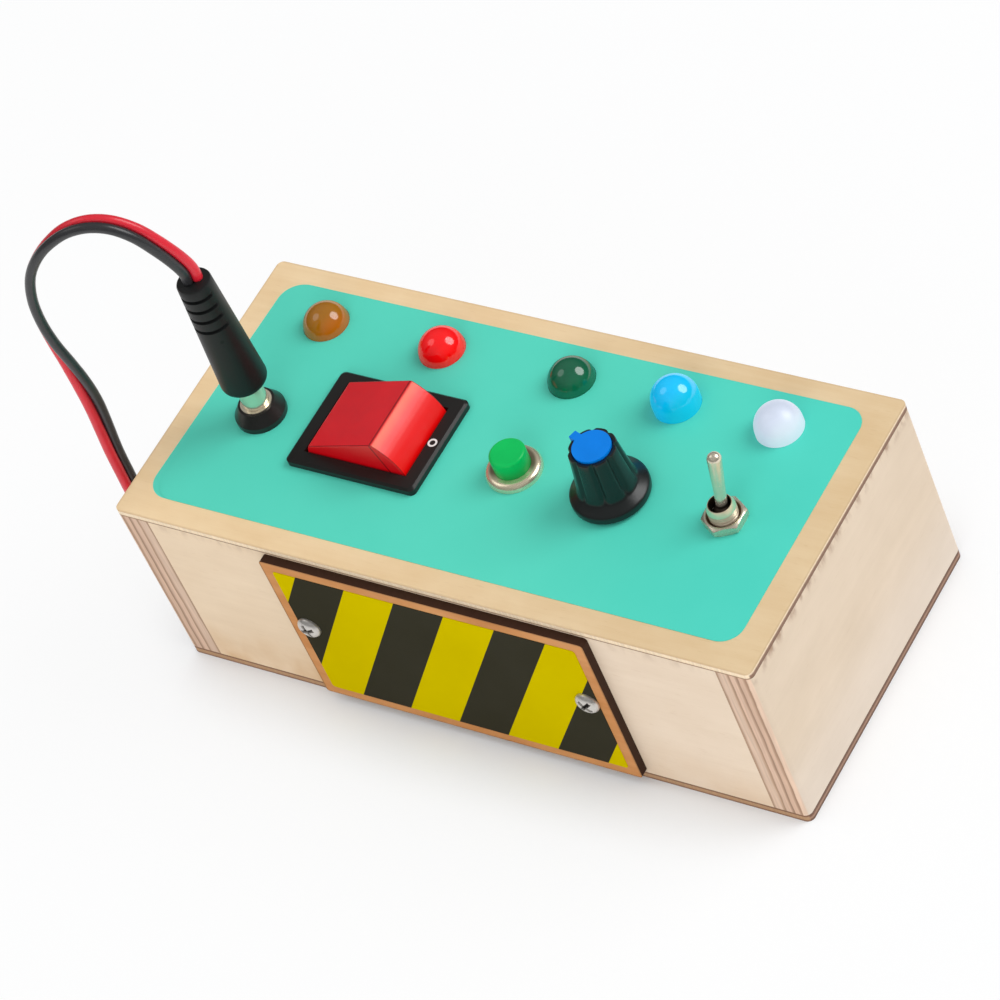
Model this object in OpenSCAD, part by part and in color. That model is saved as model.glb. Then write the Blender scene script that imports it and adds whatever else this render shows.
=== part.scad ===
// Toddler's switch box: a plywood box with lamps, a rocker switch, a push button, a knob,
// a toggle switch and a power lead that plugs into its own face.
// X runs along the box, Y to its back, Z up. The origin is the middle of the underside.

/* [Box] */
// Outside length of the box
box_l = 150; // [140:1:190]
// Outside depth of the box, front to back
box_w = 69; // [66:0.5:90]
// Outside height of the box
box_h = 48; // [46:0.5:70]
// Thickness of the two end walls
wall_t = 8; // [6:0.5:9]
// Thickness of the front and back walls
long_wall_t = 6; // [5:0.25:6.5]
// Thickness of the top sheet
top_t = 1.5; // [1:0.25:2.5]
// Thickness of the bottom sheet
bottom_t = 2; // [1:0.25:3]
// Rounding of the four upright edges
corner_r = 1.5; // [0.5:0.25:3]

/* [Coloured face] */
// Bare wood left at each end of the coloured face
face_end = 6.2; // [3:0.2:9]
// Bare wood left along the front of the coloured face
face_front = 5.6; // [3:0.2:9]
// Bare wood left along the back of the coloured face
face_back = 4.5; // [3:0.2:7]
// Rounding of the corners of the coloured face
face_r = 4.5; // [1:0.5:10]
// Thickness of the printed film
face_t = 0.12; // [0.08:0.02:0.3]

/* [Lamps] */
// Diameter of a lamp's round body
lamp_d = 10; // [8:0.1:10.6]
// Height of a lamp from its foot to its crown
lamp_h = 13.5; // [12:0.25:18]
// Diameter of the rim at a lamp's foot
rim_d = 11; // [10.8:0.1:12]
// Height of the rim at a lamp's foot
rim_h = 1.6; // [1:0.1:2.5]
// Distance of the row of lamps from the back of the box
lamp_in = 12.9; // [12:0.1:15]
// Place of the amber lamp along a box of the usual length
amber_place = -55.3; // [-60:0.1:-50]
// Height of the amber lamp above the face
amber_rise = 4.6; // [4:0.1:8]
// Place of the red lamp along a box of the usual length
red_place = -26.4; // [-36:0.1:-20]
// Height of the red lamp above the face
red_rise = 5; // [4:0.1:8]
// Place of the green lamp along a box of the usual length
green_place = 4.9; // [-4:0.1:12]
// Height of the green lamp above the face
green_rise = 4.8; // [4:0.1:8]
// Place of the blue lamp along a box of the usual length
blue_place = 29.6; // [24:0.1:36]
// Height of the blue lamp above the face
blue_rise = 6.8; // [4:0.1:8]
// Place of the white lamp along a box of the usual length
white_place = 53; // [48:0.1:58]
// Height of the white lamp above the face
white_rise = 5.9; // [4:0.1:8]
// Diameter of a lamp's wire legs
leg_d = 0.6; // [0.4:0.05:0.8]
// Length of a lamp's wire legs
leg_l = 10; // [5:0.5:14]
// Distance between a lamp's two legs
leg_gap = 2.54; // [2:0.02:3]

/* [Rocker switch] */
// Place of the rocker switch along a box of the usual length
rocker_place = -28.3; // [-30:0.1:-26]
// Place of the rocker switch front to back
rocker_y = -2; // [-3:0.1:0]
// Length of the rocker's bezel
bezel_l = 31.2; // [30.6:0.1:33]
// Width of the rocker's bezel
bezel_w = 24.4; // [24:0.1:26]
// Height of the rocker's bezel
bezel_h = 1.8; // [1.2:0.1:2.4]
// Bevel round the top of the bezel
bezel_bevel = 0.5; // [0.2:0.1:0.9]
// Length of the housing below the bezel
housing_l = 28; // [27.6:0.1:29]
// Width of the housing below the bezel
housing_w = 21.6; // [21.2:0.1:22.4]
// Depth of the housing below the face
housing_depth = 17; // [16:0.5:20]
// Thickness of the housing's floor
housing_floor = 2; // [1:0.25:3]
// Radius of the rocker's curved ends about its pivot
cap_r = 12.1; // [11.6:0.1:12.6]
// Height of the rocker's flat top above its pivot
cap_top = 7.9; // [7:0.1:8.6]
// Width of the rocker along its pivot
cap_w = 17.6; // [16.8:0.1:18]
// Wall of the hollow rocker
cap_wall = 1.6; // [1.2:0.1:2]
// Depth of the pivot below the top of the bezel
pivot_drop = 3.2; // [2.8:0.1:3.8]
// Depth of the rocker's skirt below its pivot
cap_skirt = 5.5; // [4:0.25:6.5]
// Tilt of the rocker either way from level, in degrees
rocker_tilt = 18.5; // [12:0.5:19]
// Diameter of the rocker's pivot pegs
peg_d = 3; // [2:0.1:3.4]
// Gap between the rocker and the walls of its housing
cap_gap = 0.3; // [0.2:0.05:0.5]
// Diameter of the sprung plunger under the rocker
plunger_d = 3; // [2.4:0.1:3.4]
// Tilt of the contact blade either way from level, in degrees
blade_tilt = 7; // [4:0.5:8]
// Length of the contact blade
blade_l = 17; // [14:0.5:19]
// Thickness of the contact blade
blade_t = 0.6; // [0.4:0.1:1]
// Width of the switch's metal tabs
tab_w = 6.3; // [4.8:0.1:6.4]
// Thickness of the switch's metal tabs
tab_t = 0.8; // [0.5:0.1:1]
// Length of the tabs below the housing
tab_l = 7; // [5:0.5:8]
// Distance between neighbouring tabs
tab_pitch = 7.8; // [6:0.2:8.5]

/* [Push button] */
// Place of the push button along a box of the usual length
button_place = 4.7; // [0:0.1:6]
// Place of the push button front to back
button_y = -2.5; // [-5:0.1:0]
// Diameter of the button's metal ring
ring_d = 11.9; // [11.4:0.1:14]
// Height of the button's metal ring
ring_h = 1.7; // [1.2:0.1:2.2]
// Thread diameter of the button's barrel
button_thread_d = 9.6; // [9.2:0.1:10.4]
// Length of the button's barrel below the face
button_barrel = 8.5; // [7:0.25:11]
// Diameter of the button's cap
button_d = 7.7; // [6.4:0.1:8]
// Height of the cap above the face
button_rise = 5.9; // [5:0.1:7]
// Rounding of the cap's top edge
button_round = 0.7; // [0.3:0.1:1.5]
// Travel of the button
button_travel = 2.5; // [1.5:0.1:3]
// Outside diameter of the button's plastic base
base_d = 12; // [11:0.1:13]
// Depth of the button's plastic base
base_depth = 9.5; // [8.5:0.25:12]
// Wire of the button's spring
spring_wire = 0.5; // [0.4:0.05:0.6]
// Diameter of the button's spring, middle of the wire
spring_d = 5.2; // [4:0.1:6]
// Turns of the button's spring
spring_turns = 5; // [3:0.5:6]

/* [Knob] */
// Place of the knob along a box of the usual length
knob_place = 27.4; // [25:0.1:31]
// Place of the knob front to back
knob_y = -2.4; // [-5:0.1:0]
// Height of the knob's rim above the face
knob_h = 14.4; // [13.5:0.1:18]
// Diameter of the knob's skirt
skirt_d = 16.5; // [15.8:0.1:19]
// Height of the skirt's upright edge
skirt_edge = 1.5; // [0.8:0.1:2]
// Diameter at the foot of the knob's grip
grip_foot_d = 12.9; // [12.4:0.1:13.6]
// Diameter at the top of the knob's grip
grip_top_d = 10; // [9.6:0.1:11.4]
// Number of broad lobes round the grip
lobes = 8; // [6:1:10]
// Depth of the grooves between the lobes
lobe_groove = 0.6; // [0.3:0.05:0.8]
// Gap between the knob and the face
knob_gap = 0.5; // [0.3:0.1:0.8]
// Diameter of the coloured cap in the knob's top
dial_d = 8; // [7:0.1:8.2]
// Height of the coloured cap above the knob's rim
dial_rise = 0.5; // [0.2:0.1:1]
// Width of the pointer on the coloured cap
pointer_w = 1.8; // [1:0.1:2.4]
// How far the pointer stands out past the knob's rim
pointer_out = 0.6; // [0.2:0.1:1]
// Direction of the pointer, in degrees from the right
pointer_angle = 162; // [90:1:240]
// Diameter of the knob's shaft
shaft_d = 6; // [5:0.1:6.2]
// Thread diameter of the dial control's bush
bush_d = 7; // [6.9:0.1:8]
// Diameter of the dial control's case
case_d = 16; // [15:0.5:18]
// Depth of the dial control's case
case_depth = 7.5; // [6:0.5:10]

/* [Toggle switch] */
// Place of the toggle switch along a box of the usual length
toggle_place = 53; // [48:0.1:56]
// Place of the toggle switch front to back
toggle_y = -1.9; // [-5:0.1:0]
// Thread diameter of the toggle's bush
toggle_bush_d = 6; // [5.8:0.1:6.6]
// Height of the toggle's bush above the face
toggle_bush_rise = 5; // [4.4:0.1:6]
// Bore of the toggle's bush
toggle_bore = 4.4; // [4.2:0.05:4.6]
// Width of the toggle's nut across its flats
toggle_nut_af = 8.2; // [7.8:0.1:9.5]
// Height of the toggle's nut
toggle_nut_h = 2; // [1.6:0.1:2.4]
// Turn of the nut on its thread, in degrees
nut_turn = 30; // [0:5:60]
// Length of the lever above the bush
lever_l = 11.5; // [9:0.1:14]
// Diameter of the lever at its tip
lever_tip_d = 3; // [2.4:0.1:3.6]
// Diameter of the lever at its root
lever_root_d = 2.4; // [1.8:0.1:2.5]
// Diameter of the ball that the lever turns on
ball_d = 4.1; // [3.8:0.05:4.1]
// Lean of the lever either way from upright, in degrees
lever_lean = 15; // [10:0.5:15]
// Diameter of the lever's pivot pin
pin_d = 1; // [0.8:0.1:1.2]
// Length of the toggle's case, front to back
toggle_case_w = 13; // [12:0.25:15]
// Width of the toggle's case
toggle_case_l = 8; // [7.5:0.25:9]
// Depth of the toggle's case
toggle_case_depth = 9.5; // [8:0.25:12]

/* [Power socket and plug] */
// Place of the power socket along a box of the usual length
jack_place = -56.4; // [-58:0.1:-54]
// Place of the power socket front to back
jack_y = -3.6; // [-6:0.1:0]
// Diameter of the socket's collar
collar_d = 11; // [10:0.1:12.5]
// Height of the socket's collar
collar_h = 3.8; // [3:0.1:5]
// Thread diameter of the socket's barrel
jack_thread_d = 8; // [7.8:0.1:8.6]
// Depth of the socket's barrel below the face
jack_depth = 10; // [9:0.25:13]
// Outside diameter of the metal sleeve in the socket
sleeve_d = 6.8; // [6.6:0.05:6.9]
// Diameter of the socket's centre pin
centre_d = 2; // [1.8:0.05:2.1]
// Outside diameter of the plug's metal barrel
barrel_d = 5.5; // [5.4:0.05:5.6]
// Hole in the end of the plug's barrel
barrel_hole = 2.3; // [2.3:0.05:2.6]
// Length of the plug's metal barrel
barrel_l = 14; // [12:0.25:15]
// Height of the plug's shoulder above the socket's mouth
plug_gap = 6.2; // [4:0.1:7]
// Diameter of the plug's body at its foot
plug_foot_d = 10.2; // [9:0.1:11]
// Diameter of the plug's body at its head
plug_head_d = 7.3; // [6.8:0.1:8.4]
// Length of the plug's body
plug_l = 31.6; // [29:0.1:34]
// Rounding of the plug's foot
plug_round = 1.8; // [0.6:0.1:2]
// Number of grooves that let the plug's neck bend
grooves = 4; // [2:1:5]
// Distance between the grooves
groove_pitch = 2.9; // [2.4:0.1:3.2]
// Distance of the first groove from the plug's head
groove_start = 3.2; // [2.4:0.1:5]
// Width of a groove
groove_w = 0.9; // [0.5:0.1:1.2]
// Depth of a groove
groove_depth = 0.6; // [0.3:0.1:0.8]

/* [Power lead] */
// Thickness of one strand of the twin lead
strand_d = 2.2; // [1.6:0.1:2.4]
// Place of the lead's hole in the left wall, front to back
lead_y = -18.5; // [-20:0.5:-17]
// Height of the lead's hole above the underside
lead_z = 19.5; // [18:0.5:22]
// How far the lead stands straight up out of the plug
lead_straight = 3; // [2:0.5:5]
// Clearance of the lead in the hole through the left wall
lead_clear = 0.3; // [0.1:0.1:0.6]
// Thickness of the wires between the controls
wire_d = 1.2; // [0.8:0.1:1.4]
// How far the wires hang below the controls
wire_drop = 4; // [3:0.25:5]

/* [Battery] */
// Length of the battery's case
battery_l = 48.5; // [46:0.1:49]
// Width of the battery's case
battery_w = 26.5; // [25.5:0.1:27]
// Thickness of the battery's case
battery_h = 17.5; // [16.5:0.1:18]
// Rounding of the battery's long edges
battery_r = 2; // [1:0.1:3]
// Gap between the front wall and the battery's clip
battery_back = 1; // [0.5:0.25:3]
// Diameter of the battery's larger snap
snap_d = 8; // [7.6:0.1:8.4]
// Diameter of the battery's smaller snap
stud_d = 5.6; // [5.2:0.1:6]
// Height of the battery's snaps
snap_h = 2.8; // [2.4:0.1:3.2]
// Distance between the two snaps
snap_pitch = 12.7; // [12.2:0.1:13.5]
// Thickness of the plate that snaps onto the battery
plate_t = 2; // [1.5:0.1:3]
// Thickness of the battery's spring clip
clip_t = 0.8; // [0.5:0.1:1.2]
// Width of the battery's spring clip
clip_w = 14; // [8:0.5:20]
// Height of the clip's two arms
clip_h = 13; // [8:0.5:16]

/* [Battery door] */
// Length of the battery door
door_l = 76.5; // [74:0.5:90]
// Height of the battery door
door_h = 43.5; // [41:0.25:44]
// Thickness of the battery door
door_t = 2; // [1.5:0.25:3]
// Rounding of the battery door's corners
door_r = 0.75; // [0.5:0.25:4]
// Height of the middle of the door above the middle of the box
door_up = 0.5; // [0:0.25:1]
// Bare rim left round the striped label
label_rim = 2.5; // [1.5:0.1:3]
// Thickness of the striped label
label_t = 0.12; // [0.08:0.02:0.3]
// Distance of the window's ends inside the door's ends
window_in = 9; // [8.5:0.25:11]
// Distance of the window's edges inside the door's top and bottom
window_rise = 5.5; // [5:0.25:9]
// Distance of a screw from the door's end
screw_in = 5; // [4.5:0.25:5.5]
// Height of the screws above the middle of the door
screw_up = 2; // [0:0.25:3]
// Diameter of a screw's head
head_d = 5.3; // [4.6:0.1:5.6]
// Height of a screw's head
head_h = 1.5; // [1:0.1:2]
// Diameter of a screw's shank
shank_d = 3; // [2.6:0.1:3.2]
// Length of a screw below its head
shank_l = 7.5; // [6.5:0.25:8]

/* [Fits] */
// Gap all round a piece that sits in a hole of the top sheet
panel_fit = 0.15; // [0.05:0.05:0.25]
// Gap all round a lamp in its hole
lamp_fit = 0.05; // [0.03:0.01:0.1]
// Gap all round a piece that turns or slides in another
run_fit = 0.05; // [0.03:0.01:0.08]
// Gap all round a piece that is fixed in another
seat_fit = 0.03; // [0.02:0.01:0.05]

/* [Hidden] */
$fn = 48;

// The controls' places are for a box 150 long, and spread out with its length
spread = box_l / 150;
amber_x = amber_place * spread;
red_x = red_place * spread;
green_x = green_place * spread;
blue_x = blue_place * spread;
white_x = white_place * spread;
rocker_x = rocker_place * spread;
button_x = button_place * spread;
knob_x = knob_place * spread;
toggle_x = toggle_place * spread;
jack_x = jack_place * spread;
lamp_y = box_w / 2 - lamp_in;

// Heights shared by the pieces: the underside of the top sheet, and the face that the controls sit on
under = box_h - top_t;
deck = box_h + face_t;
wall_h = box_h - top_t - bottom_t;
front = -box_w / 2;
cut = 1;

// The rocker turns about a line along Y
pivot_z = deck + bezel_h - pivot_drop;
opening_l = 2 * (cap_r + cap_gap);
opening_w = cap_w + 2 * cap_gap;
floor_z = deck - housing_depth + housing_floor;
bezel_r = 1.2;
stem_wall = 1.4;
stem_out = 1;
stem_end = -cap_skirt - stem_out;
blade_gap = 0.3;
blade_w = 6;
blade_z = floor_z + blade_l / 2 * sin(blade_tilt) + blade_gap;
plunger_tip = pivot_z - blade_z - blade_t - blade_gap;
plunger_l = 8;
outer_tab_top = blade_z - (tab_pitch + tab_t / 2) * tan(blade_tilt) - run_fit;
wing_out = 1;
wing_h = 6;
wing_w = 8;

// The button's cap has a foot that keeps it in the barrel
button_bore = button_d + 2 * run_fit;
foot_lip = 0.6;
foot_d = button_d + 2 * foot_lip;
foot_h = 1;
base_wall = 1.4;
base_floor = 1.5;
barrel_end = deck - button_barrel;
foot_z = barrel_end - run_fit - foot_h;
base_end = barrel_end - base_depth;
ring_round = ring_h * 3 / 4;
button_nut_af = 12;
button_nut_h = 2;
lug_w = 2;
lug_t = 0.5;
lug_l = 5;
spring_seat = base_end + base_floor + run_fit;
spring_h = foot_z - run_fit - spring_seat;

// The knob is hollow underneath, over the bush and its nut
dial_washer_t = 0.6;
dial_nut_h = 2;
dial_nut_af = 10;
dial_washer_d = 11.6;
hollow_d = 12.2;
dial_recess = 1.2;
knob_over = 0.3;
bush_lip = 0.6;
bush_rise = dial_washer_t + dial_nut_h + bush_lip;
hollow_h = dial_washer_t + dial_nut_h + knob_over;
shaft_top = 12;
shaft_in = 5;
lobe_steps = 10;
lobe_sharp = 12;
skirt_slope = 2.4;
skirt_bevel = 0.5;

// The toggle's lever turns about a line along X, inside the bush
pivot_below = 2.8;
lever_z = deck + toggle_bush_rise - pivot_below;
pin_seat = 0.4;
pin_l = toggle_bore + 2 * pin_seat;
toggle_plate_t = 0.8;
bush_bevel = 0.5;
back_nut_h = 1.6;
toggle_base = under - back_nut_h - toggle_plate_t;
lever_tail = 5.5;
lever_tail_d = 1.2;
lever_h = deck + toggle_bush_rise + lever_l - lever_z;
pocket_h = 3;
pocket_gap = 0.5;
pocket_d = toggle_bore + 2 * pocket_gap;

// The power socket and the plug share one upright axis
mouth = deck + collar_h;
sleeve_wall = (sleeve_d - barrel_d) / 2 - run_fit;
sleeve_out = 0.2;
jack_end = deck - jack_depth;
collar_lip = 0.5;
collar_bevel = 0.4;
jack_nut_af = 11;
jack_nut_h = 2;
pin_below = 1;
plug_foot = mouth + plug_gap;
socket_floor = plug_foot - barrel_l - run_fit;
plug_head = plug_foot + plug_l;
barrel_in = 4;
liner_wall = 0.7;

// The battery lies flat in its clip on the bottom sheet, with its snaps to the left
battery_y = front + long_wall_t + battery_back + clip_t + seat_fit + battery_w / 2;
battery_z = bottom_t + clip_t + seat_fit;
snap_x = -battery_l / 2;
plate_x = snap_x - snap_h - run_fit - plate_t;
plate_h = 15;
plate_w = 26;

// The door stands in front of the front wall, a little above the middle of the box
door_z = box_h / 2 + door_up;
door_front = front - door_t;
window_l = door_l - 2 * window_in;
window_h = door_h - 2 * window_rise;
screw_pitch = door_l - 2 * screw_in;
screw_z = door_z + screw_up;
cross_l = 3;
cross_w = 0.8;
cross_depth = 0.8;

// The power lead leaves the left wall, climbs, turns over and comes down into the plug's head.
// Its first points are measured from the outside of its hole.
lead_hole = [-box_l / 2, lead_y, lead_z];
lead_climb = [
    [wall_t, 0, 0], [wall_t / 2, 0, 0], [0, 0, 0], [-3, 0, 0], [-6.5, 0, 1], [-9.5, 0, 3], [-11.5, 0, 6],
    [-12.3, -0.1, 10.5], [-12.1, -0.1, 17.5], [-11.8, 0, 24.8], [-11.3, 0.3, 32], [-10.8, 0.5, 39],
    [-10.8, 0.5, 45.5], [-11.2, 0.3, 52.5], [-11.8, 0, 59.5], [-12, 0, 66.3], [-11.3, 0.3, 72.5],
    [-9.6, 1.1, 78.3], [-7, 2.4, 82.9], [-3.5, 4.1, 86.8], [0.8, 6.2, 89.7], [5.2, 8.3, 90.6],
    [9.3, 10.3, 89.3], [12.8, 12, 86], [15.4, 13.3, 81.5], [17.5, 14.3, 77]
];
lead_route = concat(
    [for (p = lead_climb) lead_hole + p],
    [[jack_x, jack_y, plug_head + lead_straight], [jack_x, jack_y, plug_head]]
);
// Inside, the same lead runs from the snap plate to the left wall.
inner_route = concat(
    [for (p = [[0, 11.5], [-7, 11.5], [-15, 13.5]]) [plate_x + p[0], lead_y, p[1]]],
    [for (p = [[23, -2.5], [17, 0], [wall_t, 0]]) lead_hole + [p[0], 0, p[1]]]
);
// The arch stands in an upright plane, and the two strands lie side by side in it.
arch_normal = [0.44, -0.9, 0];

// Flat shapes
module rounded(l, w, r) {
    square([l - 2 * r, w], center = true);
    square([l, w - 2 * r], center = true);
    for (x = [-1, 1], y = [-1, 1])
        translate([x * (l / 2 - r), y * (w / 2 - r)])
            circle(r);
}

module footprint() {
    rounded(box_l, box_w, corner_r);
}

module hexagon(across_flats, h) {
    cylinder(d = across_flats / cos(30), h = h, $fn = 6);
}

// A shape drawn in X and Z, pulled out along Y by w, its middle at Y = 0
module along_y(w) {
    translate([0, w / 2, 0])
        rotate([90, 0, 0])
            linear_extrude(w)
                children();
}

module along_x(l) {
    rotate([90, 0, 90])
        translate([0, 0, -l / 2])
            linear_extrude(l)
                children();
}

module tube(outer_d, inner_d, h) {
    difference() {
        cylinder(d = outer_d, h = h);
        translate([0, 0, -cut])
            cylinder(d = inner_d, h = h + 2 * cut);
    }
}

// Places of the five lamps: along the box, and above the face
lamp_places = [
    [amber_x, amber_rise], [red_x, red_rise], [green_x, green_rise], [blue_x, blue_rise],
    [white_x, white_rise]
];

// Swept tubes
function unit(v) = v / norm(v);
function heading(path, i) = unit(path[min(i + 1, len(path) - 1)] - path[max(i - 1, 0)]);
function ring_points(section, p, along, across) =
    let (up = cross(along, across))
    [for (q = section) p + q[0] * across + q[1] * up];

// One closed tube through the points of path, with its section's first axis along the vectors in across
module sweep(path, along, across, section) {
    n = len(section);
    m = len(path);
    rings = [for (i = [0 : m - 1]) each ring_points(section, path[i], along[i], across[i])];
    sides = [
        for (i = [0 : m - 2], j = [0 : n - 1])
            let (a = i * n + j, b = i * n + (j + 1) % n)
            each [[a, b, b + n], [a, b + n, a + n]]
    ];
    first = m * n;
    caps = [
        for (j = [0 : n - 1])
            let (k = (j + 1) % n)
            each [[first, k, j], [first + 1, (m - 1) * n + j, (m - 1) * n + k]]
    ];
    polyhedron(concat(rings, [path[0], path[m - 1]]), concat(sides, caps));
}

// The section of the twin lead: two round strands that touch
twin_angles = [-150, -90, -30, 30, 90, 150];
twin_half = [for (a = twin_angles) [1 + cos(a), sin(a)] * strand_d / 2];
twin_section = concat(twin_half, [for (q = twin_half) -q]);

module lead(route) {
    along = [for (i = [0 : len(route) - 1]) heading(route, i)];
    across = [for (t = along) unit(cross(arch_normal, t))];
    sweep(route, along, across, twin_section);
}

// The box
module wall_strip(low, high) {
    translate([0, 0, bottom_t])
        linear_extrude(wall_h)
            intersection() {
                footprint();
                translate(low)
                    square(high - low);
            }
}

module panel_holes(extra) {
    for (p = lamp_places)
        translate([p[0], lamp_y])
            circle(d = lamp_d + 2 * (lamp_fit + extra));
    translate([rocker_x, rocker_y])
        square([housing_l + 2 * (panel_fit + extra), housing_w + 2 * (panel_fit + extra)], center = true);
    translate([button_x, button_y])
        circle(d = button_thread_d + 2 * (panel_fit + extra));
    translate([knob_x, knob_y])
        circle(d = bush_d + 2 * (panel_fit + extra));
    translate([toggle_x, toggle_y])
        circle(d = toggle_bush_d + 2 * (panel_fit + extra));
    translate([jack_x, jack_y])
        circle(d = jack_thread_d + 2 * (panel_fit + extra));
}

module top_panel() {
    color("burlywood")
        translate([0, 0, under])
            linear_extrude(top_t)
                difference() {
                    footprint();
                    panel_holes(0);
                }
}

module coloured_face() {
    color("mediumaquamarine")
        translate([0, 0, box_h])
            linear_extrude(face_t)
                difference() {
                    translate([0, (face_front - face_back) / 2])
                        rounded(box_l - 2 * face_end, box_w - face_front - face_back, face_r);
                    panel_holes(0);
                }
}

module front_wall() {
    color("wheat")
        difference() {
            wall_strip([wall_t - box_l / 2, front], [box_l / 2 - wall_t, front + long_wall_t]);
            translate([0, front + long_wall_t / 2, door_z])
                cube([window_l, long_wall_t + 2 * cut, window_h], center = true);
            screw_places()
                translate([0, 0, -cut])
                    cylinder(d = shank_d + 2 * seat_fit, h = long_wall_t + 2 * cut);
        }
}

module back_wall() {
    color("wheat")
        wall_strip([wall_t - box_l / 2, -front - long_wall_t], [box_l / 2 - wall_t, -front]);
}

module left_wall() {
    color("wheat")
        difference() {
            wall_strip([-box_l / 2, front], [wall_t - box_l / 2, -front]);
            translate(lead_hole - [cut, 0, 0])
                rotate([0, 90, 0])
                    cylinder(d = 2 * (strand_d + lead_clear), h = wall_t + 2 * cut);
        }
}

module right_wall() {
    color("wheat")
        wall_strip([box_l / 2 - wall_t, front], [box_l / 2, -front]);
}

module bottom_panel() {
    color("burlywood")
        linear_extrude(bottom_t)
            footprint();
}

// The lamps
module lamp(place) {
    straight = lamp_h - lamp_d / 2;
    translate([place[0], lamp_y, deck + place[1] - lamp_h])
        rotate_extrude() {
            square([rim_d / 2, rim_h]);
            square([lamp_d / 2, straight]);
            translate([0, straight])
                intersection() {
                    circle(d = lamp_d);
                    square(lamp_d);
                }
        }
}

module amber_lamp() {
    color("darkgoldenrod")
        lamp(lamp_places[0]);
}

module red_lamp() {
    color("red")
        lamp(lamp_places[1]);
}

module green_lamp() {
    color("darkgreen")
        lamp(lamp_places[2]);
}

module blue_lamp() {
    color("deepskyblue")
        lamp(lamp_places[3]);
}

module white_lamp() {
    color("lavender")
        lamp(lamp_places[4]);
}

module lamp_legs() {
    color("silver")
        for (p = lamp_places, side = [-1, 1])
            translate([p[0] + side * leg_gap / 2, lamp_y, deck + p[1] - lamp_h - leg_l])
                cylinder(d = leg_d, h = leg_l);
}

// The rocker switch
module rocker_bezel() {
    hull() {
        linear_extrude(bezel_h - bezel_bevel)
            rounded(bezel_l, bezel_w, bezel_r, $fn = 32);
        linear_extrude(bezel_h)
            rounded(bezel_l - 2 * bezel_bevel, bezel_w - 2 * bezel_bevel, bezel_r, $fn = 32);
    }
}

// A springy wing on each end of the housing grips the edge of the hole from below
module housing_wings() {
    for (side = [0, 1])
        mirror([side, 0, 0])
            along_y(wing_w)
                translate([housing_l / 2, under - deck])
                    polygon([[-cut, 0], [wing_out, 0], [0, -wing_h], [-cut, -wing_h]]);
}

module tab_places() {
    for (i = [-1, 0, 1])
        translate([i * tab_pitch, 0, 0])
            children();
}

module rocker_housing() {
    color("#222222")
        translate([rocker_x, rocker_y, deck])
            difference() {
                union() {
                    rocker_bezel();
                    translate([-housing_l / 2, -housing_w / 2, -housing_depth])
                        cube([housing_l, housing_w, housing_depth]);
                    housing_wings();
                }
                translate([-opening_l / 2, -opening_w / 2, floor_z - deck])
                    cube([opening_l, opening_w, housing_depth + bezel_h]);
                translate([0, 0, pivot_z - deck])
                    rotate([90, 0, 0])
                        cylinder(d = peg_d + 2 * run_fit, h = housing_w + 2 * cut, center = true);
                tab_places()
                    translate([0, 0, -housing_depth])
                        cube([tab_t + 2 * seat_fit, tab_w + 2 * seat_fit, 4 * housing_floor], center = true);
            }
}

// The rocker's side view, level: a round about the pivot, cut by its flat top and its skirt
module rocker_side(r, top, skirt) {
    intersection() {
        circle(r);
        translate([-r, -skirt])
            square([2 * r, top + skirt]);
    }
}

module on_pivot() {
    translate([rocker_x, rocker_y, pivot_z])
        rotate([0, -rocker_tilt, 0])
            children();
}

module rocker_cap() {
    stem_d = plunger_d + 2 * (run_fit + stem_wall);
    color("red")
        on_pivot()
            difference() {
                union() {
                    difference() {
                        along_y(cap_w)
                            rocker_side(cap_r, cap_top, cap_skirt);
                        along_y(cap_w - 2 * cap_wall)
                            rocker_side(cap_r - cap_wall, cap_top - cap_wall, cap_skirt + cut);
                    }
                    translate([0, 0, stem_end])
                        cylinder(d = stem_d, h = cap_top - cap_wall / 2 - stem_end);
                    for (side = [0, 1])
                        mirror([0, side, 0])
                            translate([0, cap_w / 2 - cap_wall / 2, 0])
                                rotate([-90, 0, 0])
                                    cylinder(d = peg_d, h = (housing_w - cap_w + cap_wall) / 2);
                }
                translate([0, 0, stem_end - cut])
                    cylinder(d = plunger_d + 2 * run_fit, h = cap_top - 2 * cap_wall - stem_end + cut);
            }
}

module rocker_plunger() {
    straight = plunger_l - plunger_d / 2;
    color("silver")
        on_pivot()
            translate([0, 0, -plunger_tip])
                rotate_extrude() {
                    translate([0, plunger_d / 2])
                        square([plunger_d / 2, straight]);
                    translate([0, plunger_d / 2])
                        intersection() {
                            circle(d = plunger_d);
                            translate([0, -plunger_d])
                                square(plunger_d);
                        }
                }
}

module rocker_contact() {
    color("peru")
        translate([rocker_x, rocker_y, blade_z])
            rotate([0, blade_tilt, 0])
                translate([-blade_l / 2, -blade_w / 2, 0])
                    cube([blade_l, blade_w, blade_t]);
}

// The middle tab carries the blade; the outer two are what it touches
module rocker_tabs() {
    bottom = deck - housing_depth - tab_l;
    color("silver")
        translate([rocker_x, rocker_y, 0])
            for (i = [-1, 0, 1]) {
                top = i == 0 ? blade_z - run_fit : outer_tab_top;
                translate([i * tab_pitch - tab_t / 2, -tab_w / 2, bottom])
                    cube([tab_t, tab_w, top - bottom]);
            }
}

// The push button
module button_ring() {
    inner = button_bore / 2;
    edge = ring_d / 2;
    color("silver")
        translate([button_x, button_y, deck])
            rotate_extrude() {
                translate([inner, -button_barrel])
                    square([button_thread_d / 2 - inner, button_barrel + ring_h - ring_round]);
                translate([inner, 0])
                    square([edge - inner, ring_h - ring_round]);
                translate([inner, 0])
                    square([edge - ring_round - inner, ring_h]);
                translate([edge - ring_round, ring_h - ring_round])
                    intersection() {
                        circle(ring_round);
                        square(ring_round);
                    }
            }
}

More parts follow.
